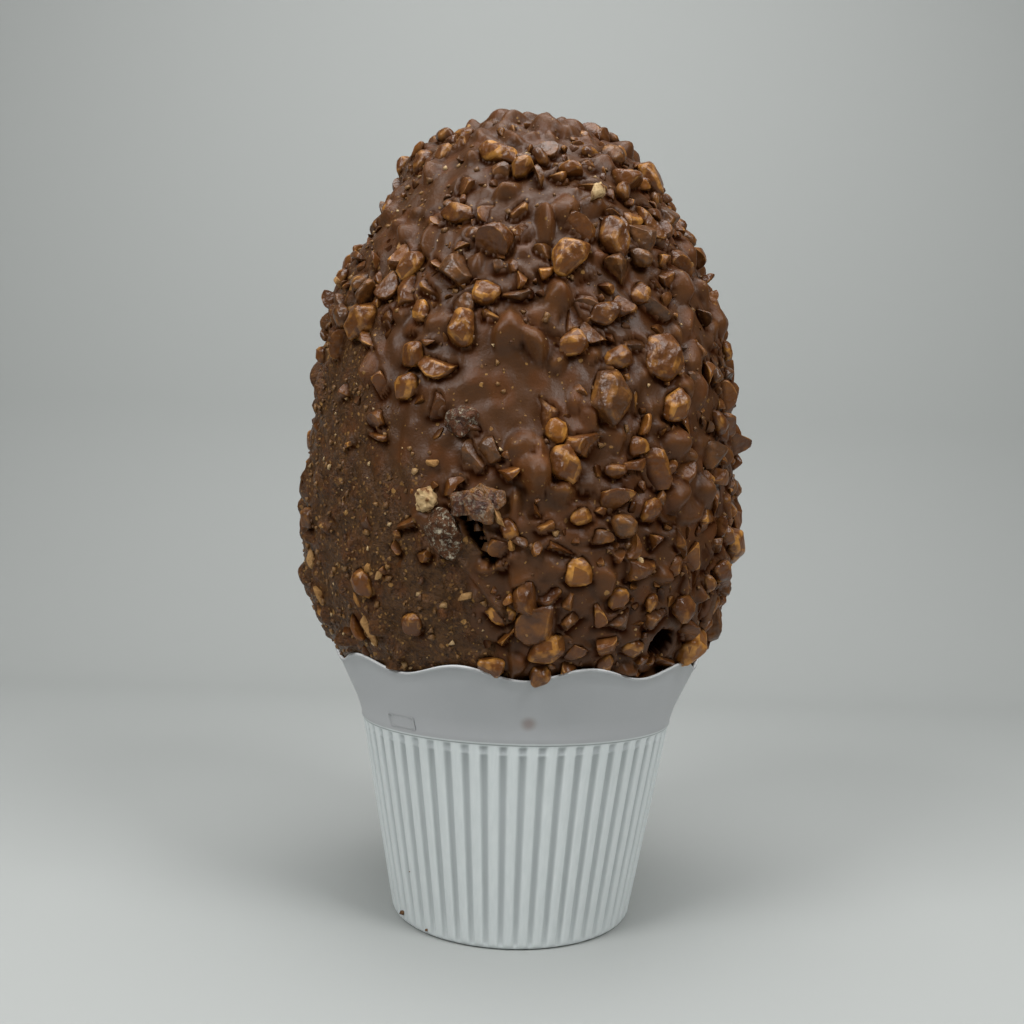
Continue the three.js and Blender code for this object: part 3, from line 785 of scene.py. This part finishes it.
medium += [nut_at(*nut, lift=LEFT_LIFT, seed=LEFT_SEED + i, tone=lerp(0.5, 0.95, i * LEFT_TONE_STEP % 1))
           for i, nut in enumerate(LEFT_NUTS)]
large_nuts = chopped_nuts(large, nut_hull, bevel=0.8, softness=0.5)
medium_nuts = chopped_nuts(medium, nut_chip, bevel=0.95, softness=0.65)
small_nuts = chopped_nuts(small, nut_chip, bevel=0.75, softness=0.6)
tiny_nuts = chopped_nuts(tiny, partial(nut_chip, roundness=1), bevel=0.4, softness=0.45)
covered_nuts = chopped_nuts(large, nut_hull, bevel=0.6, covered=True)
join_to(covered_nuts, chopped_nuts(medium + small, nut_chip, bevel=0.6, covered=True))

# ------------------------ hazelnuts
# The largest pieces are whole or halved hazelnuts, 13 to 18 mm long, and big chips that stand out.
# Their coat of chocolate has run, so their corners are rounder and their faces a little uneven.

HAZELNUT_LENGTH = 13  # from here up a placed nut is a piece of its own
HAZELNUT_CORNERS = 12
HAZELNUT_EDGE = 1.1
DRIED_WRINKLE = (3, 1.1, 3)  # size and height of the wrinkles, and how often the nut is smoothed before
CRUMBLY_WRINKLE = (1.5, 1.1, 1)


def whole_nut(nut, size=3.2, rise=0.35, smoothings=1):
    """A nut's own mesh, rounded, wrinkled and laid on the shell."""
    own = nut_hull(nut)
    ease_edges(own, HAZELNUT_EDGE, segments=3)
    bmesh.ops.triangulate(own, faces=own.faces)
    bmesh.ops.subdivide_edges(own, edges=own.edges, cuts=2, use_grid_fill=True)
    for _ in range(smoothings):
        soften(own, 0.5)
    wrinkle(own, nut["seed"], size, rise)
    lay_nut(nut, own)
    return own


KERNEL = 25  # the place in PLACED_NUTS of a kernel that has lost its coat
FLAP = 26  # and of a torn flap of dried coat
KERNEL_TONE = 0.8
FLAP_TONE = 0.1
DRIED_BITS = [  # azimuth, height, length, width, thickness, turn, roll, lift and tone
    (-13.3, 176.6, 12, 10.5, 7, 20, 0, 0.1, 0.82),
    (-12, 150.3, 12, 9, 3.6, 12, -6, 0.7, 0.42),
    (-8, 148.8, 13, 9, 3.6, -34, 10, 1, 0.4),
    (-5.4, 152, 10, 8, 3.4, 65, 6, 0.6, 0.3),
]
DRIED_SEED = 55
KNOB = 9  # the number of a hazelnut under a dull, dried coat
node_number = 0
standing = bmesh.new()
dried = bmesh.new()
whole_nuts = []
for i, nut in enumerate(placed):
    if nut["size"][0] >= HAZELNUT_LENGTH:
        nut["corners"] = HAZELNUT_CORNERS
        node_number += 1
        if node_number == KNOB:
            nut["tone"] = 1
            own = knob = whole_nut(nut, *DRIED_WRINKLE)
        else:
            own = whole_nut(nut)
        whole_nuts.append((node_number, own))
    elif i == KERNEL:
        nut["tone"] = KERNEL_TONE
        kernel = whole_nut(nut, *CRUMBLY_WRINKLE)
    elif i == FLAP:
        nut["tone"] = FLAP_TONE
        join_to(dried, whole_nut(nut, *DRIED_WRINKLE))
    else:
        join_to(standing, whole_nut(nut))
for i, (*place, roll, lift, tone) in enumerate(DRIED_BITS):
    bit = nut_at(*place, roll=roll, lift=lift, seed=DRIED_SEED + i, tone=tone)
    join_to(dried, whole_nut(bit, *DRIED_WRINKLE))


def dried_coat_look(add, place, tone, edge):
    """Milk chocolate that has dried: reddish and torn, or dull and bloomed with whitish fat and sugar."""
    clouds = add("TexNoise", place, Scale=per(3), Detail=4, Roughness=0.6, Distortion=0.8)
    clouds = add("MapRange", clouds, 0.3, 0.7)
    red = add("Mix", clouds, "#2c1207", "#74421f")
    dull = add("Mix", clouds, "#321b0e", "#744e34")
    bloomed = add("MapRange", tone, 0.7)
    base = add("Mix", bloomed, red, dull)
    golden = add("MULTIPLY", add("MULTIPLY_ADD", tone, -1.4, edge, use_clamp=True), clouds)
    base = add("Mix", golden, base, "#a8763a")
    specks = add("TexNoise", place, Scale=per(1.5), Detail=4, Roughness=0.75)
    specks = add("MapRange", specks, 0.51, 0.6)
    patches = add("TexNoise", place, Scale=per(3.4), Detail=5, Roughness=0.75)
    patches = add("MapRange", patches, 0.4, 0.52)
    bloom = add("MULTIPLY", specks, patches)
    plenty = add("MapRange", tone, 0.2, 1, 0.2)
    bloom = add("MULTIPLY", bloom, plenty)
    colour = add("Mix", bloom, base, "#cdbfa6")
    relief = add("MULTIPLY_ADD", clouds, 1.6, bloom)
    bump = add("Bump", Height=relief, Strength=1, Distance=0.6 * MM)
    roughness = add("MapRange", tone, 0, 1, 0.24, 0.52)
    gloss = add("MapRange", tone, 0.6, 1, 0.5, 0.12)
    return dict(Base_Color=colour, Roughness=roughness, Specular_IOR_Level=gloss, Normal=bump)


def broken_kernel_look(add, place, tone):
    """The broken inside of a roasted hazelnut: matt, cream to gold, with brown shreds of its skin."""
    crumbs = add("TexNoise", place, Scale=per(1.3), Detail=4)
    shreds = add("TexNoise", place, Scale=per(2.6), Detail=3)
    cream = add("Mix", crumbs, "#a67c45", "#ead2a4")
    gold = add("Mix", crumbs, "#6b3f18", "#c08a44")
    kernel_colour = add("Mix", tone, gold, cream)
    skin = add("MapRange", shreds, 0.54, 0.66)
    colour = add("Mix", skin, kernel_colour, "#70461f")
    bump = add("Bump", Height=crumbs, Strength=1, Distance=0.7 * MM)
    return dict(Base_Color=colour, Roughness=0.7, Specular_IOR_Level=0.3, Normal=bump)


BARE_BITS = [  # azimuth, height, length, width, thickness and turn
    (18, 252, 9.5, 7.5, 8, 60),
    (20.5, 254.5, 7.5, 4.5, 7, 120),
    (-64, 228.5, 7.5, 4.4, 5, 70),
    (-52, 225, 9.4, 5, 5, 60),
    (-39, 239.5, 7.5, 4.4, 5, 95),
    (-35.3, 128, 6.2, 4.4, 3.2, 40),
    (-38.5, 129.5, 4.2, 3.2, 2.5, 100),
    (-41.8, 110, 16.2, 4, 4, 112),
    (-44.5, 118, 8.8, 2.8, 3, 120),
    (-63.5, 120, 11.2, 3.8, 4, 105),
    (-66.5, 131, 8.8, 3.8, 4.2, 95),
    (-68, 112, 10, 3.2, 3.8, 110),
    (28, 134, 4.2, 2.5, 3, 80),
    (57.8, 239.5, 5.6, 3.1, 4.2, 20),
    (58.6, 227, 5, 2.8, 3.8, 60),
    (-4.4, 146, 12.5, 3.2, 5.6, -62),
    (-1.8, 139, 7.5, 2.8, 4.2, -50),
    (-19.4, 163.5, 5, 3.8, 3.2, 10),
    (-12, 122, 6.2, 3.8, 3, 30),
]
CREAM_BITS = (0, 1, 12)  # the places of the palest
BARE_SEED = 600
CREAM_TONE = 0.9
GOLD_TONE = 0.35
bare_bits = [nut_at(*bit, lift=0.5 if i in CREAM_BITS else 0.25, seed=BARE_SEED + i,
                    tone=CREAM_TONE if i in CREAM_BITS else GOLD_TONE * (i * TONE_STEP % 1))
             for i, bit in enumerate(BARE_BITS)]
bare = chopped_nuts(bare_bits, nut_chip, bevel=0.25)
join_to(bare, kernel)
dried_coat = make_material("bloomed_chocolate", dried_coat_look, "tone", "edge")
broken_kernel = make_material("broken_hazelnut", broken_kernel_look, "tone")
finish_piece("bare_kernels", bare, broken_kernel, "coated_nut", "egg")
finish_piece("dried_flap", dried, dried_coat, "chocolate", "egg")

# ------------------------ the chocolate coat
# Milk chocolate, poured over the shell by hand and set with a satin skin. It banks up against each
# nut, holds fine nut grains, and is open in a slit at the join and in a pit low on the right.

COAT_CUTS = 127
FRONT_PULL = 0.35  # gathers the mesh towards the front, where the relief is finest
JOIN_EDGE_WIDTH = 1.6  # degrees over which the coat steps up low on the join
JOIN_LIP = 1.5  # height of the rounded lip there
JOIN_LIP_PLACE = 1.6  # degrees past the join
JOIN_LIP_WIDTH = 0.9
BROAD_WAVE = (13, 0.5)  # size and height
LUMP_WAVE = (6, 1.1)  # of what lies buried in the coat on the right
FINE_WAVE = (3.2, 0.4)
BANK_HEIGHT = 1.1
BANK_REACH = 1.7
CREVICE = 0.7  # depth of the shadowed gap below a nut
# Creases and the gap below a nut are painted dark as shade.
CREASE = (0.06, 0.4)  # how far a vertex lies below its neighbours where a crease begins and is full
CREASE_SHADE = 0.8  # how dark it gets there
RIDGE = (0.12, 0.6)  # how far it lies above them where the film on a nut's edge is thin
DRAPE_REACH = 13  # how far out of the shell a nut can stand
FILM = 0.6  # thickness of the coat over a covered nut
FILM_DROPS = (0.9, 2.3, 2.3)  # how far the film falls at each step away from a covered nut
FILM_SHOWS = (0.5, 2.5)  # thicknesses between which it takes on the colour of a covered nut
HOLES = [  # azimuth, height, length, width, depth, turn and raggedness
    (-9.6, 142.5, 23, 4.6, 9, -57, 1),
    (42.3, 107.4, 10.5, 10, 12, 84, 0.35),
]
HOLE_THROUGH = 25  # a hole reaches no further than this from its own spot
HOLE_WAVES = ((2.6, 0.5), (1.3, 0.35))  # size and share of the waves in its outline
HOLE_EDGE = (0.6, 1.05)  # shares of its half width between which it goes down
# A hole is painted darker the deeper it goes, as shade.
HOLE_SHADE_DEPTH = 2  # depth at which it is as dark as it gets
HOLE_WALL = (0.3, 0.6)  # depth from which its wall is in shadow, and how much
JOIN_SOFTENS = (165, 200)  # heights between which the step at the join grows broad
JOIN_LIP_ENDS = (138, 150)
JOIN_LIP_WAVE = (4, 1)
JOIN_WAVER = (7, 1.2)  # size of the waves in its line, and degrees that it strays
DULL_WAVER = (12, 14)
NUT_REACH = 4  # how far from a nut the coat banks up
NUT_FOOT = (-0.6, 0.4)  # rise on the way from a nut to the coat where a crevice turns into a bank
RELIEF_FROM_Z = THIN_COAT_Z - 4


def coat_place(corner):
    """The azimuth and latitude of a point of the cube that the coat's mesh starts as."""
    even = Vector([math.tan(c * math.pi / 4) for c in corner]).normalized()
    ahead = (even + Vector((0, -FRONT_PULL, 0))).normalized()
    return azimuth_of(ahead), math.asin(ahead.z)


def wave(place, size, rise):
    return rise * noise.noise(place / size)


def hole_sink(point, inverse, length, width, depth, raggedness):
    """How deep a hole is at a point, from 0 at its edge."""
    local = inverse @ point
    if abs(local.z) > HOLE_THROUGH:
        return 0
    ragged = 1 + raggedness * sum(wave(point, *waves) for waves in HOLE_WAVES)
    inside = ((2 * local.x / length) ** 4 + (2 * local.y / width) ** 4) ** 0.25 / ragged
    return depth * (1 - smoothstep(inside, *HOLE_EDGE))


COAT_ATTRIBUTES = ("hole_shade", "grain", "over_nut", "crevice_shade", "ridge")
COAT_FLECKS = [  # given as NUT_FLECKS is
    (3.4, 0.85, 0.3, "#6a4424", "#a87d45"),
    (1.4, 0.72, 0.36, "#674524", "#9e7641"),
    (2.4, 0.95, 0.3, "#5d3517", "#84602f"),
]


def milk_chocolate_look(add, place, hole_shade, grain, over_nut, crevice_shade, ridge):
    """Milk chocolate, poured and set: a satin skin with fine tan nut grains, pinholes and dull clouds,
    painted dark as shade in its crevices, creases and holes.
    """
    clouds = add("TexNoise", place, Scale=per(16), Detail=3)
    wisps = add("TexNoise", place, Scale=per(5), Detail=4, Distortion=0.6)
    smooth = add("Mix", clouds, "#472a14", "#573820")
    dull = add("Mix", wisps, "#472c14", "#634322")
    base = add("Mix", grain, smooth, dull)
    thin = add("MULTIPLY", add("MapRange", wisps, 0.3, 0.7, 0.2, 0.75), over_nut)
    base = add("Mix", thin, base, "#653c19")
    ridge = add("MULTIPLY", ridge, 0.6)
    base = add("Mix", ridge, base, "#835422")
    buried = add("TexVoronoi", place, Scale=per(8), feature="SMOOTH_F1")
    buried = add("MapRange", buried, 0.22, 0.42, 0.4, 0)
    base = add("Mix", buried, base, "#673a19")
    skin = add("TexNoise", place, Scale=per(1.4), Detail=4, Roughness=0.6)
    pitted = add("MULTIPLY", add("MapRange", skin, 0.34, 0.56, 0.75, 0), grain)
    base = add("Mix", pitted, base, "#2c190b")
    plenty = add("MULTIPLY", add("MapRange", wisps, 0.35, 0.65), grain)
    colour, stand = add_flecks(add, place, base, COAT_FLECKS, plenty)
    # Painted shade: crevices, creases and holes are painted dark and lose their sheen.
    in_painted_shade = add("MAXIMUM", crevice_shade, hole_shade)
    sheen = add("MapRange", in_painted_shade, 0, 0.7, 0.24, 0)
    colour = add("Mix", crevice_shade, colour, "#240b04")
    dark = add("Mix", hole_shade, colour, "#0b0302")
    swirl = add("TexNoise", place, Scale=per(22), Detail=1, output="Color")
    swirl = add("VectorMath", swirl, 30 * MM, operation="SCALE")
    swirled = add("VectorMath", place, swirl, operation="ADD")
    flat = add("Mapping", swirled, Rotation=(0.4, -0.5, 0), Scale=(0.14, 0.14, 1))
    streaks = add("TexNoise", flat, Scale=per(1.3), Detail=4, Distortion=0.8)
    streaky = add("MapRange", clouds, 0.4, 0.6)
    streaks = add("MULTIPLY", add("MULTIPLY", streaks, grain), streaky)
    line = add("TexNoise", swirled, Scale=per(7), Detail=2, Distortion=1)
    line = add("ABSOLUTE", add("SUBTRACT", line, 0.5))
    line = add("MULTIPLY", add("MapRange", line, 0.002, 0.014, 1, 0), grain)
    streaks = add("MULTIPLY_ADD", line, -1, add("MULTIPLY", streaks, 2.2))
    rough_skin = add("MULTIPLY_ADD", grain, 1.9, 0.5)
    skin_height = add("MULTIPLY_ADD", skin, rough_skin, streaks)
    both = add("ADD", stand, skin_height)
    bump = add("Bump", Height=both, Strength=0.9, Distance=0.45 * MM)
    roughness = add("MapRange", wisps, 0.3, 0.7, 0.34, 0.48)
    return dict(Base_Color=dark, Roughness=roughness, Specular_IOR_Level=sheen, Normal=bump)


covered_tree = BVHTree.FromBMesh(covered_nuts)
covered_nuts.free()
free_nuts = bmesh.new()
for bm in (large_nuts, medium_nuts, small_nuts, standing,
           *[own for number, own in whole_nuts if own is not knob]):
    bm.to_mesh(scratch)
    free_nuts.from_mesh(scratch)
free_tree = BVHTree.FromBMesh(free_nuts)
free_nuts.free()
holes = []
for azimuth, height, length, width, depth, turn, raggedness in HOLES:
    spot = shell_frame(azimuth, height) @ Matrix.Rotation(math.radians(turn), 4, "Z")
    holes.append((spot.inverted(), length, width, depth, raggedness))
coat = bmesh.new()
bmesh.ops.create_cube(coat, size=2)
bmesh.ops.subdivide_edges(coat, edges=coat.edges, cuts=COAT_CUTS, use_grid_fill=True)
hole_shade_layer, grain_layer, over_layer, crevice_shade_layer, ridge_layer = [
    coat.verts.layers.float.new(name) for name in COAT_ATTRIBUTES]
coat.verts.index_update()
points, ways, films, sinks = [], [], [], []
for vertex in coat.verts:
    azimuth, latitude = coat_place(vertex.co)
    radius, height, out = egg_profile(latitude)
    step_width = lerp(JOIN_EDGE_WIDTH, COAT_STEP_WIDTH, smoothstep(height, *JOIN_SOFTENS))
    here = turned(azimuth, radius, height)
    relief = wave(here, *BROAD_WAVE) + wave(here, *FINE_WAVE) + wave(here, *LUMP_WAVE)
    dull = grainy(azimuth + wave(here, *DULL_WAVER), height)
    rise = coat_rise(azimuth, radius, height, step_width)
    rise += relief * smoothstep(height, RELIEF_FROM_Z, FULL_COAT_Z)
    low = (1 - smoothstep(height, *JOIN_LIP_ENDS)) * (1 + wave(here, *JOIN_LIP_WAVE))
    ragged_join = past_join(azimuth + wave(here, *JOIN_WAVER), height)
    rise += low * JOIN_LIP * math.exp(-((ragged_join - JOIN_LIP_PLACE) / JOIN_LIP_WIDTH) ** 2)
    outwards = turned(azimuth, out.x, out.y)
    point = shifted(here + outwards * rise)
    sink = max(hole_sink(point, *hole) for hole in holes)
    top = covered_tree.ray_cast(point + outwards * DRAPE_REACH, -outwards, DRAPE_REACH)
    films.append(DRAPE_REACH - top[3] + FILM if top[0] and sink == 0 else 0)
    points.append(point)
    ways.append(outwards)
    # The hole's painted shade, darker with depth.
    vertex[hole_shade_layer] = min(1, sink / HOLE_SHADE_DEPTH)
    vertex[grain_layer] = dull
    sinks.append(sink)
neighbours = [[edge.other_vert(vertex).index for edge in vertex.link_edges] for vertex in coat.verts]
for drop in FILM_DROPS:
    films = [max(film, max(films[n] for n in beside) - drop) for film, beside in zip(films, neighbours)]
films = [(film + sum(films[n] for n in beside) / len(beside)) / 2 for film, beside in zip(films, neighbours)]
for vertex, point, outwards, film, sink in zip(coat.verts, points, ways, films, sinks):
    vertex[over_layer] = smoothstep(film, *FILM_SHOWS)
    point += outwards * film
    nearest = free_tree.find_nearest(point, NUT_REACH)
    # Painted shade on the walls of a hole and in the gap just below a nut.
    if sink > HOLE_WALL[0]:
        vertex[crevice_shade_layer] = HOLE_WALL[1]
    elif nearest[0]:
        above = smoothstep((point.z - nearest[0].z) / max(0.01, nearest[3]), *NUT_FOOT)
        bank = lerp(-CREVICE, BANK_HEIGHT, above)
        closeness = math.exp(-(nearest[3] / BANK_REACH) ** 2)
        point += outwards * bank * closeness
        vertex[crevice_shade_layer] = (1 - above) * closeness
    vertex.co = clear_of_cup(point - outwards * sink)
soften(coat, 0.5)
bmesh.ops.recalc_face_normals(coat, faces=coat.faces)
coat.normal_update()
# Painted shade in the creases, where a vertex lies below its neighbours.
for vertex in coat.verts:
    beside = [edge.other_vert(vertex).co for edge in vertex.link_edges]
    middle = sum(beside, Vector()) / len(beside)
    sunk = (middle - vertex.co).dot(vertex.normal)
    vertex[crevice_shade_layer] = max(vertex[crevice_shade_layer], CREASE_SHADE * smoothstep(sunk, *CREASE))
    vertex[ridge_layer] = vertex[over_layer] * smoothstep(-sunk, *RIDGE)
coat_tree = BVHTree.FromBMesh(coat)
chocolate = make_material("milk_chocolate", milk_chocolate_look, *COAT_ATTRIBUTES)
finish_piece("chocolate_coat", coat, chocolate, "chocolate", "egg")
for name, own, *nodes in (
        ("large_chopped_nuts", large_nuts, "egg"),
        ("medium_chopped_nuts", medium_nuts),
        ("small_chopped_nuts", small_nuts),
        ("tiny_chopped_nuts", tiny_nuts),
        ("standing_nuts", standing, "egg"),
        *[(f"coated_hazelnut_{number:02d}", own, f"hazelnut_{number:02d}") for number, own in whole_nuts]):
    material = dried_coat if own is knob else coated_hazelnut
    piece = finish_piece(name, own, material, "coated_nut", *nodes)
    piece.modifiers.new("flat_faces", "WEIGHTED_NORMAL")

# ------------------------ nut grains
# Fine grains of roasted hazelnut, 1 to 3 mm, that stick out of the coat. They are thickest low on
# the left half, where the coat is thin.

GRAIN_COUNT = 4600
GRAIN_LENGTH = (0.8, 3.2)
GRAINS_RIGHT = 0.2  # share of them that the smooth coat keeps
GRAIN_SEED = 70001
GRAIN_CORNERS = 6
GRAIN_LOWEST = NUT_LOWEST + 4
GRAIN_LIFT = 0.1
SLIT_CRUMBS = 16
SLIT_CRUMB_SIZE = 1.5  # times a grain's
SLIT_CRUMB_TONE = 0.15
SLIT_CRUMB_DEPTH = (1.5, 4.5)
SLIT_REACH = (0.4, 0.5)  # how far they lie along and across it
CUP_CRUMBS = [(-58, 4.2, 2.2), (-40, 2.4, 1.2), (-47, 22, 0.6)]  # azimuth, height and length
CUP_CRUMB_LIFT = 0.25
CUP_CRUMB_SEED = GRAIN_SEED - 90
CUP_CRUMB_TONE = 0.35


def nut_grain_look(add, place, tone):
    """Roasted hazelnut, ground coarse: matt, from brown skin through gold to pale kernel."""
    brown = add("Mix", tone, "#56351c", "#936b3a")
    pale = add("MapRange", tone, 0.88, 1)
    colour = add("Mix", pale, brown, "#cdb083")
    rough = add("TexNoise", place, Scale=per(0.7), Detail=2)
    bump = add("Bump", Height=rough, Strength=0.6, Distance=0.2 * MM)
    return dict(Base_Color=colour, Roughness=0.45, IOR=1.47, Normal=bump)


def grain(seed, length, width, thickness, tone):
    """The mesh of one grain, with its width and thickness as shares of its length."""
    size = (length, length * width, length * thickness)
    own = nut_hull({"seed": seed, "size": size, "corners": GRAIN_CORNERS})
    for vertex in own.verts:
        vertex[own.verts.layers.float["tone"]] = tone
    return own


grains = bmesh.new()
grain_random = seeded_random(GRAIN_SEED)
for i in range(GRAIN_COUNT):
    draws = [grain_random() for _ in range(7)]
    azimuth = 360 * draws[0] - 180
    height = lerp(GRAIN_LOWEST, NUT_HIGHEST, draws[1])
    if draws[2] > lerp(GRAINS_RIGHT, 1, grainy(azimuth, height)):
        continue
    length = lerp(*GRAIN_LENGTH, draws[3] ** 2)
    own = grain(GRAIN_SEED + i, length, 0.7, 0.6, draws[4])
    spot, normal, _, _ = coat_tree.find_nearest(shell_point(azimuth, latitude_at(height)))
    out = normal.to_track_quat("Z", "Y").to_matrix().to_4x4()
    turn = out @ Matrix.Rotation(ONE_TURN * draws[5], 4, "Z")
    spot += normal * length * GRAIN_LIFT
    bmesh.ops.transform(own, matrix=Matrix.Translation(spot) @ turn, verts=own.verts)
    for vertex in own.verts:
        vertex.co = clear_of_cup(vertex.co)
    join_to(grains, own)
into_slit, slit_length, slit_width, *_ = holes[0]
slit_frame = into_slit.inverted()
for i in range(SLIT_CRUMBS):
    draws = [grain_random() for _ in range(5)]
    length = SLIT_CRUMB_SIZE * lerp(*GRAIN_LENGTH, draws[0])
    own = grain(GRAIN_SEED - i - 1, length, 0.8, 0.7, SLIT_CRUMB_TONE * draws[1])
    along = slit_length * SLIT_REACH[0] * (2 * draws[2] - 1)
    across = slit_width * SLIT_REACH[1] * draws[3]
    spot = slit_frame @ Matrix.Translation((along, across, -lerp(*SLIT_CRUMB_DEPTH, draws[4])))
    bmesh.ops.transform(own, matrix=spot, verts=own.verts)
    join_to(grains, own)
for i, (azimuth, height, length) in enumerate(CUP_CRUMBS):
    own = grain(CUP_CRUMB_SEED - i, length, 0.6, 0.8, CUP_CRUMB_TONE)
    spot = turned(azimuth, wall_radius(height) + CUP_CRUMB_LIFT, height)
    bmesh.ops.translate(own, vec=spot, verts=own.verts)
    join_to(grains, own)
nut_grain = make_material("hazelnut_grain", nut_grain_look, "tone")
finish_piece("nut_grains", grains, nut_grain, "coated_nut", "egg")
bpy.data.meshes.remove(scratch)

# ------------------------ stage and camera
# A plain pale floor that sweeps up behind the egg, soft light from above and from both sides, and a
# camera a little above the cup. The sizes of the stage are in metres.

SWEEP_WIDTH = 2.4
SWEEP_FRONT = -1.2
SWEEP_BACK = 0.8
SWEEP_BEND = 0.3  # radius of the bend between floor and backdrop
SWEEP_TOP = 1.4
CAMERA_PLACE = Vector((-3.7, -379.7, 138.9)) * MM
CAMERA_PITCH = 1.83
CAMERA_ROLL = 1.7
CAMERA_FOCAL = 970 / 1024  # as a share of the picture's width
SENSOR_WIDTH = 36
LIT_PLACE = Vector((0, 0, 0.15))
WORLD_STRENGTH = 0.12
LIGHTS = [  # place, size in metres and power in watts
    ((0, -0.15, 1.3), 0.8, 10.5),
    ((-0.7, -0.75, 0.95), 0.45, 8.5),
    ((0.7, -0.7, 0.95), 0.45, 7.5),
]

floor_mesh = bmesh.new()
sweep = [(SWEEP_FRONT, 0), *arc((SWEEP_BACK - SWEEP_BEND, SWEEP_BEND), SWEEP_BEND, -90, 0, 24),
         (SWEEP_BACK, SWEEP_TOP)]
corners = [floor_mesh.verts.new((-SWEEP_WIDTH / 2, y, z)) for y, z in sweep]
edges = [floor_mesh.edges.new(pair) for pair in zip(corners, corners[1:])]
across = bmesh.ops.extrude_edge_only(floor_mesh, edges=edges)["geom"]
bmesh.ops.translate(floor_mesh, vec=(SWEEP_WIDTH, 0, 0),
                    verts=[v for v in across if isinstance(v, bmesh.types.BMVert)])
floor_paint = make_material("pale_table", lambda add, place: dict(Base_Color="#b2b5b3", Roughness=0.7))
floor = mesh_object("floor", floor_mesh, floor_paint)

world = bpy.data.worlds.new("studio")
world.use_nodes = True
background = world.node_tree.nodes["Background"].inputs
background["Color"].default_value = linear("#bcc0be")
background["Strength"].default_value = WORLD_STRENGTH
bpy.context.scene.world = world
bpy.context.scene.view_settings.view_transform = "Standard"

for i, (place, size, power) in enumerate(LIGHTS):
    lamp = bpy.data.lights.new(f"soft_light_{i + 1}", "AREA")
    lamp.size = size
    lamp.energy = power
    light = place_object(lamp.name, lamp)
    light.location = place
    light.rotation_euler = (LIT_PLACE - Vector(place)).to_track_quat("-Z", "Y").to_euler()

camera_data = bpy.data.cameras.new("camera")
camera_data.sensor_width = SENSOR_WIDTH
camera_data.lens = SENSOR_WIDTH * CAMERA_FOCAL
camera = place_object("camera", camera_data)
upright = Matrix.Rotation(math.radians(90 + CAMERA_PITCH), 4, "X")
roll = Matrix.Rotation(math.radians(CAMERA_ROLL), 4, "Z")
camera.matrix_world = Matrix.Translation(CAMERA_PLACE) @ upright @ roll
bpy.context.scene.camera = camera
